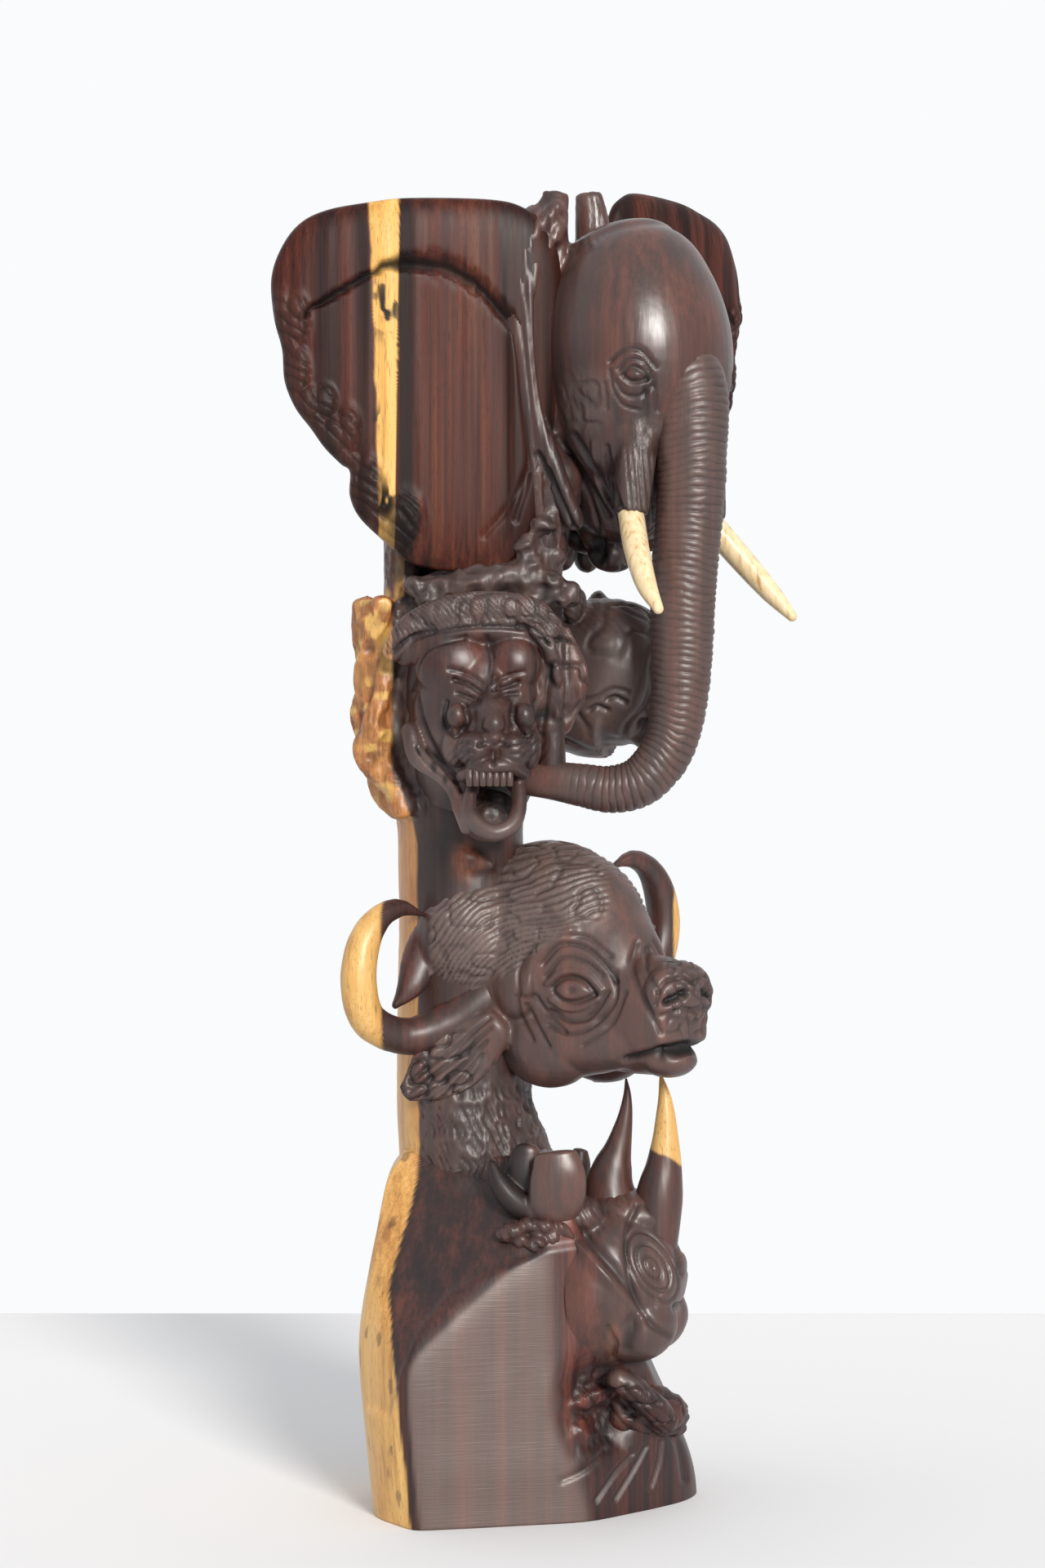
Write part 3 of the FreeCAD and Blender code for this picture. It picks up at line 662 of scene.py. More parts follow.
# ------------------------------------------------------------------ the buffalo
# The head juts out to the front right with a wavy mane, ringed eyes, a pebbled nose, drooping ears
# and two crescent horns; the near horn runs out into the sapwood and so turns yellow.
buffalo = middle_of("buffalo_head", (-21.7, 14.9, 1.0))
buffalo_turn = 45
at = partial(placed, buffalo, buffalo_turn)
forward, side = heading(buffalo_turn)
profile = [(-25, 8, 27, 34), (0, 5, 33, 45), (20, 1, 31, 44), (38, -7, 24, 33), (54, -14, 18, 24),
           (68, -15, 17, 22), (76, -15, 15, 20)]
lumps = [limb([at(a, 0, c) for a, c, _, _ in profile], [r[2] for r in profile], [r[3] for r in profile],
              across=side, cap=0.3, around=48),
         *twins(at, 22, 15, -25, (25, 12, 19), buffalo_turn),
         limb([at(18, 12, -26), at(42, 10, -24), at(62, 5, -24)], [16, 14, 10]),
         blob(buffalo + [-22, -9, 12], (25, 24, 26)),
         limb([buffalo + [-53, -24, -13], buffalo + [-47, -22, -5], buffalo + [-43, -18, 7],
               buffalo + [-39, -14, 18]], [1.5, 5.5, 7, 5], [2, 3.5, 4, 4], across=(1, 0, 0)),
         *twins(at, 16, 25, -4, (13, 8, 14), buffalo_turn),
         blob(at(75, 0, -7), (9, 17, 13), buffalo_turn), blob(at(70, 0, -31), (11, 11, 7), buffalo_turn)]
# The stub under each horn, and the ear that droops back and out from below it.
for turn in (1, -1):
    lumps.append(limb([at(-2, 20 * turn, 0), at(-2, 32 * turn, -14)], [12, 7.5]))
    hinge = at(8, 30 * turn, 0)
    droop = (side * turn - forward) / 2**0.5
    path = [hinge + droop * out + np.array([0, 0, up])
            for out, up in ((-1, -21), (11, -30), (22, -38), (33, -46))]
    lumps.append(limb(path, [8, 12.5, 11.5, 4], [6, 4.5, 3.5, 2], across=(0.3, 0, 1), cap=0.8))
points, quads = mass(lumps, voxel=0.72)
normal = normals_of(points, quads)
x, z, square = seen(points, normal, buffalo, buffalo_turn)

# Wavy locks above the hair line, strokes on the ears behind, a pebbled pad on the nose.
hair_line = np.interp(x, [-46, -31, -18, -11, 1, 13, 26, 34], [-12, -11, -3, -2, 7, 16, 22, 30])
hair = ease(z - hair_line, -1, 3) * ease(30 - x, 0, 6) * ease(square + 0.3, 0.2, 0.8) * ease(x, -41, -39)
slope = np.radians(14 + 34 * ease(-x, -5, 42))
waves = 2.2 * wander(points, (15, 15, 11), 31)
flow = z * np.cos(slope) - x * np.sin(slope) + waves + 0.5 * wander(points, (6, 6, 3), 37)
locks = furrow(flow, 2.35) * (0.65 + 0.35 * wander(points, (9, 9, 4), 36))
tufts = np.abs(wander(points, (8, 8, 5), 38))
pad = ease(x, 47, 50) * ease(z, -23, -20)
pebbles = np.abs(wander(points, 3.0, 32))
wing = ease(-x - 0.9 * (z + 34), 14, 20) * ease(-z, 12, 18)
eye_ball = 1.8 * knob(x, z, 14, -6, 6, 3.8) - 0.9 * knob(x, z, 14, -5.6, 1.8, 1.8)
eye_lids = [(0.8, 1.6, [(6.5, -5), (10, -2), (14, -1), (18.5, -2.6), (22.5, -7)]),
            (1.1, -1.3, [(4.5, -3.5), (9, 0.4), (14, 1.6), (19.5, -0.2), (24.5, -5.5)]),
            (0.8, 1.5, [(7, -6.6), (11, -9.6), (16, -9.8), (22, -7.4)]),
            (1.1, -1.1, [(6, -9.4), (11, -12.6), (17, -12.4), (23, -9)])]
eye_rings = [(0.9, 1.3, [(3, 4), (10, 11), (19, 10), (26, 4), (30, -2)]),
             (0.9, 1.1, [(4, -1), (10, 6), (18, 5), (25, 0)]), (0.8, 0.9, [(8, 14), (19, 14), (28, 7)]),
             (0.9, 1.2, [(27, -6), (21, -15), (13, -17), (6, -14)]),
             (0.9, 1.2, [(30, 1), (29, -10), (21, -19), (12, -22), (5, -19)]),
             (0.9, 1.0, [(33, -6), (28, -18), (18, -26)]),
             (2.4, -2.2, [(13, 16), (4, 10), (-1, 3), (-3, -6)]), (1.0, 1.2, [(-1, 10), (-6, 2), (-6, -8)])]
mouth_and_nose = [(1.3, 2.6, [(34, -31), (41, -28.5), (48, -26.5)]),
                  (2.2, 4.6, [(46, -28), (53, -26.5), (62, -25)]), (1.5, 3.2, [(48, -9), (55, -5.5)]),
                  (0.9, 1.2, [(44, -10), (47, -2), (54, 0), (60, -3)]),
                  (0.9, 1.0, [(46, -14), (54, -12), (62, -13)]),
                  (1.3, 1.2, [(38, 12), (36, 2), (40, -9), (46, -20)]),
                  (0.9, 1.0, [(42, 10), (41, 3), (45, -5)])]
cheek_and_ear = [(0.9, 1.1, [(0, -8), (4, -14), (11, -21)]), (0.9, 1.1, [(-3, -12), (1, -20), (5, -27)]),
                 (0.9, 1.0, [(-7, -9), (-5, -17), (-1, -25)]), (0.9, 0.8, [(32, -36), (42, -39), (54, -41)]),
                 (0.9, 1.1, [(-17, -17), (-31, -29), (-47, -41)]),
                 (0.9, 1.1, [(-17, -21), (-31, -34), (-47, -45)]),
                 (0.9, 1.1, [(-18, -26), (-31, -39), (-43, -48)]),
                 (0.9, 1.0, [(-20, -31), (-32, -45), (-38, -51)])]
relief = -1.35 * hair * locks - 0.7 * hair * ease(0.25 - tufts, 0, 0.25)
relief += square * (eye_ball + cuts(x, z, eye_lids + eye_rings + mouth_and_nose + cheek_and_ear))
ear_strokes = furrow(0.72 * x - 0.7 * z + 3 * wander(points, 7, 39), 4.6)
relief -= wing * (0.9 * ear_strokes + 1.4 * ease(0.3 - tufts, 0, 0.3)) * square
relief -= 0.9 * pad * ease(0.4 - pebbles, 0, 0.4) + 0.1 * wander(points, 4, 33)
points = points + normal * relief[:, None]
# Painted shade in the cuts, the furrows of the locks and the pupil's pit; a painted grey sheen on the head,
# brightest on the crests of the locks and less towards the back.
pupil = knob(x, z, 14, -5.6, 2.0, 2.0) * square
show("buffalo_head", points, [quads], ["buffalo_head", "buffalo_ear_right", "buffalo_ear_left"],
     red=0.35 * (1 - hair) * (1 - pad), groove=-0.40 * relief + 0.8 * pupil, chisel=0.45 * hair + 0.4 * wing,
     bloom=0.32 + 0.42 * hair * (1 - locks) + 0.15 * wing - 0.25 * ease(-x, 36, 42) * (1 - hair))

# Each horn sweeps out, down and up again into its point. The rows are how far it lies out, how far up, its
# share of the lean backwards, and its radius.
crescent = [(14, -4, 0.0, 12), (24, -9, 0.0, 10.5), (38, -20, 0.4, 8.6), (53, -24.5, 0.8, 7.0),
            (68, -18, 1.0, 6.9), (73.5, -4, 1.0, 6.8), (71, 11, 1.0, 6.2), (64, 20.5, 0.95, 4.8),
            (54.5, 24, 0.9, 3.4), (44, 21.5, 0.85, 0.8)]


def pale_bow(p):
    """Sapwood to the left of a wavy edge: the outer bow of the near horn."""
    return ease(-57.6 + 0.5 * wander(p, (6, 6, 6), 34) - p[:, 0], -0.5, 0.5)


def pale_far_bow(p):
    """Sapwood to the right of a wavy edge: the outer bow of the far horn."""
    return ease(p[:, 0] - 56.0 + 0.5 * wander(p, 6, 35), -0.5, 0.5)


for name, turn, lean, lift, pale in (("right", 1, 20.0, 0.0, pale_bow), ("left", -1, 0.0, 17.0, pale_far_bow)):
    path = [at(-lean * back, out * turn, up + lift) for out, up, back, _ in crescent]
    # Both horns get a painted grey sheen.
    horn("buffalo_horn_" + name, path, [r[3] for r in crescent], forward, pale, red=0.25, rust=0.03,
         bloom=0.12)


# ------------------------------------------------------------------ the lion
# A roaring face under the arch of its mane, with round cheek knobs, bared teeth and an open jaw.
# Carved deep into the front of the log; the mane is polished, the hair above it left as gouge strokes.
def run(anchor, points, radii, **more):
    """A limb through points told from an anchor."""
    return limb([anchor + np.array(p, float) for p in points], radii, **more)


lion = middle_of("lion_head", (0.5, 13.7, -0.2))
to_viewer = 90
across = (1, 0, 0)
neck_and_mane = [
    run(lion, [(-8, 16, -44), (-6, 12, -20), (-3, 8, 20), (-2, 12, 40)], [12, 22, 27, 22],
        high=[10, 20, 22, 16], across=across, cap=0.4),
    run(lion, [(-34, -11, 27), (-27, -13, 37), (-12, -15.5, 43), (5, -15.5, 44.5), (19, -14.5, 42),
               (27, -12, 36)],
        [4, 5, 6, 6, 6, 4.5], high=[2.6, 3, 3, 3, 3, 2.6]),
    run(lion, [(-28, -8, 27), (-12, -11.5, 35.5), (5, -11.5, 37), (20, -10, 33)], [5, 6.5, 6.5, 5]),
    run(lion, [(19, -17, 37), (25, -15, 30), (28, -12, 18), (28, -9, 4)], [2.6, 2.8, 2.8, 2.6])]
brow = [blob(lion + [-1, -5, 6], (18, 25, 29), to_viewer),
        blob(lion + [-11, -13, 22], (8, 14, 13), to_viewer),
        blob(lion + [12, -12, 23], (8.5, 10.5, 11), to_viewer)]
nose = [run(lion, [(4.5, -20, 17), (4.7, -26, 9), (4.6, -33, 0)], [2.6, 3.0, 4.2])]
muzzle_balls = [((4.4, -31.5, -5), (4, 4.5, 3.2)), ((4, -19, 2), (15, 9, 11)), ((4.6, -26, -10), (8, 7, 6)),
                ((-9, -26, 3.4), (5, 4, 5)), ((-3.5, -22, 1), (7, 4.5, 7)), ((14, -21, 1), (7, 4.5, 7)),
                ((16, -25, 3.4), (5, 4, 5)), ((-2.5, -30, -9), (8, 7, 6.5)), ((11.8, -29, -9.5), (8, 7, 6.5)),
                ((-9, -22, -8), (7, 6, 8)), ((17.5, -20, -8), (7, 5, 9))]
muzzle = [blob(lion + np.array(middle), half, to_viewer) for middle, half in muzzle_balls]
jaw = [run(lion, [(-7, -27, -19), (-1, -33, -16.5), (5, -35, -15.5), (11, -33, -15.5), (16, -27, -18)],
           [2.4, 2.8, 2.8, 2.8, 2.4]),
       run(lion, [(-3, -25, -22), (-4.5, -29, -30), (-1.5, -33, -37), (5, -35, -40), (11.5, -33, -37),
                  (14, -29, -30), (13.5, -25, -22)], [2.6, 3.0, 3.2, 3.2, 3.2, 3.0, 2.6]),
       run(lion, [(-27, -10, -2), (-24, -14, -12), (-15, -19, -19), (-10, -23, -25), (-8, -26, -31),
                  (-5, -30, -38)], [3.6, 3.6, 3.0, 2.8, 2.8, 3.0]),
       blob(lion + [3, -10, -34], (12, 12, 10), to_viewer), blob(lion + [3, -20, -34], (7, 7, 6), to_viewer)]
post = [run(lion, [(26, -2, -17), (26.5, -4, -8), (26, -4, 4)], [6, 5, 5]),
        run(lion, [(25, -5, 0), (25, -7, 18), (25, -6, 36)], [6, 6.5, 6], high=[5, 6, 5], across=across),
        run(lion, [(31, -2, 0), (35, -5, 18), (32, -3, 36)], [3, 5.5, 1.5], high=[4, 4, 3], across=across)]
points, quads = mass(neck_and_mane + brow + nose + muzzle + jaw + post, voxel=0.68, passes=2)
normal = normals_of(points, quads)
x, z = points[:, 0] - lion[0], points[:, 2] - lion[2]
square = ease(-normal[:, 1], 0.0, 0.4)

# The band of hair over the brow, the rough panel beside the face, and the fur of the two jowls.
band_foot = np.interp(x, [-34, -24, -10, 4, 19, 26], [26, 33, 36, 37, 36, 31])
band = ease(z - band_foot, -0.5, 1.5) * ease(58 - z, 0, 4)
panel = ease(x, 20, 22) * ease(z, 0, 3) * ease(36 - z, 0, 3)
gouges = furrow(x + 0.9 * z + 3 * wander(points, (9, 9, 5), 41), 2.5)
gouges = gouges * (0.6 + 0.4 * wander(points, (5, 5, 3), 43))
chips = np.abs(wander(points, (6, 6, 8), 44))
fur = knob(x, z, -8, -10, 5, 7) + knob(x, z, 19, -10, 5, 8)
frown = [(0.9, 1.7, [(-10, 17), (-5, 15.5), (-0.5, 12.5)]), (0.9, 1.7, [(4.5, 13.5), (8, 14), (13.5, 16)]),
         (0.8, 1.3, [(-9, 12), (-5, 10.5), (-1, 9)]), (0.8, 1.3, [(5.5, 11), (9, 11.5), (13.5, 12)]),
         (0.8, 1.0, [(-12, 21), (-5, 19), (0, 15.5)]), (0.8, 1.0, [(6, 17), (10, 18.5), (16, 20)])]
round_knobs = [(0.9, 1.6, [(-13, 9), (-14, 2), (-10, -4), (-5, 1), (-6, 7)]),
               (0.9, 1.6, [(20.5, 9), (21, 2), (17, -4), (12, 1), (12, 7)])]
mane_edge = [(1.2, 1.4, [(-33, 28), (-24, 33.5), (-10, 36), (4, 37), (19, 36), (25, 31)]),
             (1.0, 1.0, [(-27, 14), (-21, 28), (-6, 33)]), (0.9, 0.9, [(2, 33), (4, 24), (3, 16)])]
nostrils = [(1.0, 1.5, [(1.5, -7), (-0.5, -7.5)]), (1.0, 1.5, [(7.5, -7), (9.5, -7.5)]),
            (0.8, 1.3, [(4.5, -10), (4.5, -15)])]
whiskers = [(0.7, 0.7, [(-9, -6), (-3, -7)]), (0.7, 0.7, [(-9, -10), (-3, -10.5)]),
            (0.7, 0.7, [(11, -7), (17, -6)]), (0.7, 0.7, [(11, -11), (17, -11)])]
cheek_folds = [(1.0, 1.6, [(-25, 12), (-22, 0), (-16, -12), (-9, -21)]),
               (0.7, 0.9, [(-24, -8), (-19, -16), (-14, -20)]), (1.1, 1.4, [(24.5, 22), (24, 8), (22, -4)])]
relief = square * cuts(x, z, frown + round_knobs + mane_edge + nostrils + whiskers + cheek_folds)
relief -= square * (1.2 * band * gouges + 1.0 * band * ease(0.3 - chips, 0, 0.3)
                    + 0.9 * fur * furrow(x - 0.8 * z, 3.2)
                    + 1.3 * panel * ease(0.35 - chips, 0, 0.35)) + 0.08 * wander(points, 4, 42)
ahead = points[:, 1] - lion[1]
relief -= 1.2 * knob(x, z, 4, -31, 7, 7) * ease(ahead, -31, -27) * np.abs(wander(points, 2.6, 45))
points = points + normal * relief[:, None]
ahead = points[:, 1] - lion[1]
stitches = (knob(x, z, -23.5, -9, 1.2, 2.4) + knob(x, z, -18, -15.5, 1.4, 2.4)
            + knob(x, z, -13.5, -20, 1.2, 2.2))
# Painted shade darkens the open throat behind the teeth.
throat = knob(x, z, 7, -27, 7, 7) * ease(ahead, -30, -24)
lobes = knob(x, z, -12, 24, 14, 9) + knob(x, z, 12, 24, 8, 8)
# Painted shade in the cuts and gouges; a painted grey sheen, brightest on the crests of the brow band, the
# lower jaw and the cheek strap, less on the brow lobes.
show("lion_head", points, [quads], ["lion_head", "lion_jaw"], pale=ease(-53.8 - points[:, 0], -0.5, 0.5),
     red=0.55 * lobes + 0.5 * ease(x, 30, 32), rust=0.6, scorch=0.9 * stitches * square, polish=0.2 * lobes,
     groove=-0.42 * relief + 0.9 * throat,
     bloom=(0.14 + 0.25 * band * (1 - gouges) + 0.28 * ease(-z, 31, 36)
            + 0.42 * knob(x, z, -18, -14, 9, 12) + 0.1 * panel - 0.1 * lobes),
     chisel=0.8 * band + 0.5 * panel + 0.35 * ease(-z, 0, 4) * ease(z, -20, -16))

# Seven upper teeth, each a short peg, stand on a bow under the lip.
teeth, tooth_gap = 7, 2.45
points, faces, start = [], [], 0
for k in range(teeth):
    tooth_x, tooth_y = -4.2 + tooth_gap * k, -33.0 - 2.0 * sin(pi * (k + 0.5) / teeth)
    p, parts = run(lion, [(tooth_x, tooth_y, -17), (tooth_x, tooth_y - 0.6, -20), (tooth_x, tooth_y, -22.4)],
                   [1.25, 1.4, 1.2], high=[1.3, 1.3, 1.0], rows=12, around=16, across=across, cap=0.5)
    points.append(p)
    faces += [f + start for f in parts]
    start += len(p)
# The teeth get a painted grey sheen.
show("lion_teeth", np.vstack(points), faces, ["lion_jaw"], red=0.15, bloom=0.3, chisel=0.3)


# ------------------------------------------------------------------ the leopard
# Its head shares the tier with the lion and looks right, behind the elephant's trunk. Same log,
# cut in broad facets and waxed.
leopard = middle_of("leopard_head", (6.6, -2.4, 0))
leopard_turn = 20
at = partial(placed, leopard, leopard_turn)
lumps = [limb([at(a, 0, c) for a, c in ((-40, -4), (-16, 0), (2, 1), (14, -3))], [16, 23, 24, 20],
              [20, 30, 31, 24], across=heading(leopard_turn)[1], cap=0.5),
         blob(at(20, 0, -10), (12, 13, 11), leopard_turn), blob(at(18, 0, -22), (11, 9, 6), leopard_turn),
         *twins(at, -10, 15, 29, (5, 7, 8), leopard_turn)]
points, quads = mass(lumps)
normal = normals_of(points, quads)
x, z, square = seen(points, normal, leopard, leopard_turn)
chips = np.abs(wander(points, (9, 9, 12), 51))
strokes = furrow(0.8 * x + z + 3 * wander(points, 10, 52), 4.0)
relief = -0.8 * ease(0.3 - chips, 0, 0.3) - 0.5 * ease(z, 14, 22) * strokes
relief += square * cuts(x, z, [(0.9, 1.6, [(-9, -12), (-6, -10.5), (-2, -12)]),
                               (0.9, 1.6, [(-2, -8), (1, -7), (5, -9)]),
                               (0.9, 1.0, [(-11, -8), (-6, -7), (0, -4), (6, -5)]),
                               (1.4, 2.4, [(12, -17), (22, -17), (30, -15)]),
                               (1.2, 2.0, [(29, -6), (31, -8)])])
points = points + normal * relief[:, None]
# Painted shade in the cuts and chips; a painted grey sheen all over.
show("leopard_head", points, [quads], ["leopard_head"], red=0.02, groove=-0.35 * relief, bloom=0.5,
     polish=0.2, chisel=0.15)


# ------------------------------------------------------------------ the elephant's head
# A high polished brow, a small wrinkled eye, fluted sheaths for the tusks and a small open mouth, with
# two ridges and a notched crest where the ears grow. Carved from the same log and rubbed with wax.
skull = middle_of("elephant_head", (15.7, 2.0, 15.7))
skull_turn = 45
at = partial(placed, skull, skull_turn)
profile = [(-10, 38, 25), (-5, 27, 32), (-1, 10, 36.5), (1, -8, 36.5), (-2, -28, 32), (-6, -48, 24),
           (-10, -64, 17)]
brow_and_neck = [
    limb([at(a, 0, c) for a, c, _ in profile], [r for _, _, r in profile], across=heading(skull_turn)[1],
         cap=0.4, around=48),
    limb([at(-16, 0, -24), at(-34, 4, -40), np.array([-16.0, 8, 382])], [26, 20, 17]),
    limb([(2, -6, 364), (3, -5, 430), (2, -5, 486)], [11, 12, 11], across=(1, 0, 0))]
ridges = [limb([(8, -12, 494), (-2.5, -17, 479), (-7, -18, 452), (-5, -18, 434), (-1, -18, 410), (1, -16, 384),
                (5, -13, 366)], [3.5, 4.5, 4.5, 4.5, 4.5, 4, 4], across=(0, 1, 0)),
          limb([(9, -12, 486), (-1, -18, 467), (-2.5, -19, 446), (0.5, -19, 416), (8, -20, 392),
                (15, -18, 374)],
               [4, 4, 4, 4, 4, 4], across=(0, 1, 0))]
nape_and_brow = [blob(at(-25, 3, 27), (22, 21, 19), skull_turn), blob(at(20, 0, -4), (14, 15, 14), skull_turn),
                 limb([at(22, 0, -4), (57, -21, 424)], [14, 12])]
crest = [limb([(6, -9, 470), (6, -9, 486), (8, -9, 500)], [7.5, 7, 5.5], [6, 4.5, 3], across=(1, 0, 0),
              cap=0.4),
         limb([(24, 2, 466), (23, 4, 484), (21, 4, 502)], [8, 7.5, 5.5], [6, 5, 3], across=(1, 0, 0), cap=0.4)]
chin = [blob(at(-13, 0, -76), (9, 10, 7), skull_turn, -10), blob(at(-22, 0, -66), (12, 12, 10), skull_turn),
        *twins(at, -33, 7, -75, (5, 6, 7), skull_turn)]
sheaths = []
for turn in (1, -1):
    sheaths += [blob(at(17, 19 * turn, -2), (12, 10, 8), skull_turn),
                blob(at(2, 21 * turn, -30), (17, 10, 19), skull_turn),
                limb([at(17, 16 * turn, -28), at(18, 20 * turn, -46), at(18, 22 * turn, -63)],
                     [8, 7.6, 6.6], cap=0.15)]
points, quads = mass(brow_and_neck + ridges + nape_and_brow + crest + chin + sheaths, voxel=0.84, passes=5)
normal = normals_of(points, quads)
px, py, pz = points.T
x, z, square = seen(points, normal, skull, skull_turn)

# The brow is polished, the temple and cheek are lumpy with pits, and the sheaths are cut in fine flutes.
polished = ease(z + 0.25 * x, -14, 2) * ease(x, -34, -30)
patch = ease(np.abs(wander(points, (6, 6, 5), 61)), 0.05, 0.4)
lumpy = np.maximum(knob(x, z, -19, -21, 10, 12), knob(x, z, 2, -32, 8, 7))
strands = furrow(x + 0.10 * z + 0.4 * wander(points, (3, 3, 20), 62), 2.3)
sheath = ease(x, -6.5, -4.5) * ease(8.5 - x, 0, 2) * ease(-z - 0.25 * x, 38, 42)
eye_lids = [(0.8, 1.3, [(-11, -7), (-6, -3), (0, -3), (6, -9)]),
            (0.8, 1.2, [(-8, -10), (-4, -6.5), (1, -7), (4, -11)]),
            (0.8, 1.3, [(-6.5, -12), (-3, -9), (1.5, -11), (3, -14)]),
            (0.8, 1.3, [(-6, -12.5), (-3, -14.6), (1, -14.4), (3, -13.4)])]
eye_bags = [(0.8, 1.1, [(-9, -14), (-6, -19), (0, -20), (5, -16)]),
            (0.7, 0.9, [(-11, -10), (-10, -17), (-6, -23), (0, -25)]), (0.9, 1.0, [(-13, -15), (-12, -24)]),
            (0.8, 1.0, [(2, -17), (3, -27)]), (0.8, 0.9, [(5, -13), (7, -25)])]
neck_folds = [(1.2, 1.6, [(-30, -33), (-21, -47), (-11, -63)]),
              (1.2, 1.8, [(-38, -40), (-29, -60), (-20, -75)]),
              (1.0, 1.4, [(-12, -38), (-10, -53), (-5, -66)]),
              (1.1, 1.4, [(-24, -33), (-15, -48), (-9, -60)]),
              (1.0, 1.2, [(-34, -46), (-25, -66), (-20, -82)]),
              (0.9, 1.2, [(-27, -40), (-18, -56), (-13, -72)])]
ear_root = [(1.5, 2.0, [(-34, 32), (-37, 15), (-37, -2), (-35, -18), (-32, -30)]),
            (1.2, 1.2, [(-30, 40), (-35, 24)]), (0.9, -0.8, [(-17, -36), (-16, -48), (-12, -58)])]
eye_ball = 0.8 * np.exp(-(np.hypot(x + 1.5, (z + 12.2) * 1.5) / 2.2) ** 4)
relief = square * (cuts(x, z, eye_lids + eye_bags + neck_folds + ear_root) - 0.7 * lumpy * (1 - patch)
                   - 1.3 * sheath * strands + eye_ball)
# The small open mouth is a pit, darkened with painted shade.
mouth = np.exp(-(np.hypot((x + 14.5) / 3.5, (z + 76) / 5.5)) ** 4) * square
notched = ease(pz, skull[2] + 32, skull[2] + 40) * ease(30 - px, 0, 3)
relief -= 5 * mouth + 0.25 * notched * furrow(px + 0.2 * pz + 2 * wander(points, 6, 63), 4.0)
behind = ease(-34 - x, -3, 0)
relief -= 0.5 * behind * furrow(0.12 * pz + px + 2 * wander(points, (9, 9, 30), 64), 3.2)
relief += 0.06 * wander(points, 5, 65)
points = points + normal * relief[:, None]
# Painted shade in the cuts, flutes, pits and the mouth; a painted grey sheen, more on the polished brow, the
# lumpy temple and the sheaths.
show("elephant_head", points, [quads], ["elephant_head"], red=0.22 * ease(z, -40, 0), polish=polished,
     groove=-0.45 * relief + mouth, bloom=0.12 + 0.12 * polished + 0.25 * lumpy + 0.3 * sheath,
     chisel=0.8 * lumpy + 0.5 * ease(-z, 30, 40) + 0.3 * notched)

# The trunk hangs from the brow, then sweeps back in one loop to the lion; rings are cut right round it.
path = np.array([(50, -13, 447), (58, -21.5, 425), (59.2, -25, 397), (58.3, -26, 375), (56.2, -26.5, 352),
                 (55.4, -27, 324), (54, -27, 303), (50, -27, 287), (40.5, -27, 275.5), (29, -26, 272),
                 (18, -25, 273.5), (8, -23.5, 275), (-2, -21, 275.5), (-10, -15, 276)])
radii = [10, 14.6, 13.4, 12.8, 12.6, 11.8, 10.8, 10.0, 9.6, 9.0, 8.2, 7.3, 6.0, 5.0]
rows, around, end_rows, samples, ring_pitch = 640, 72, 5, 900, 2.75
points, faces = limb(path, radii, across=(0, 1, 0), rows=rows, around=around)
normal = normals_of(points, faces[0])
line = smooth_path(path, samples)
length = np.concatenate([[0], np.cumsum(np.linalg.norm(np.diff(line, axis=0), axis=1))])
share = np.clip((np.arange(len(points)) - 1) // around - end_rows, 0, rows - 1) / (rows - 1)
along = np.interp(share, np.linspace(0, 1, samples), length)
tilt = 3.0 * (normal[:, 0] * ease(110 - along, 0, 60) - 0.5 * normal[:, 0])
wobble = 0.9 * wander(points, (7, 7, 12), 71) + tilt
ringed = furrow(along + wobble + 0.35 * wander(points, 2.5, 74), ring_pitch) ** 1.5
fade = ease(along - 9 * (normal[:, 0] + 0.5 * normal[:, 1]), 12, 24) * ease(214 - along, 0, 28)
shallow = 0.55 + 0.45 * ease(normal[:, 0] + 0.25 * wander(points, 6, 72), -0.75, 0.1)
relief = -0.7 * ringed * fade * shallow + 0.18 * wander(points, (5, 5, 3), 73) * fade
points = points + normal * relief[:, None]
# Painted shade in the rings; a painted grey sheen all over.
show("elephant_trunk", points, faces, ["elephant_trunk"], red=0.15 + 0.5 * ease(along, 205, 220),
     groove=-0.85 * relief, bloom=0.36, chisel=0.12)


# ------------------------------------------------------------------ the elephant's ears
# Two broad slabs with a rolled, knobbed lower lip and a carved fold under the top edge. The near one
# crosses the sapwood ring, which shows as a straight yellow stripe with a few scorched smudges.
ear_root_u = 8


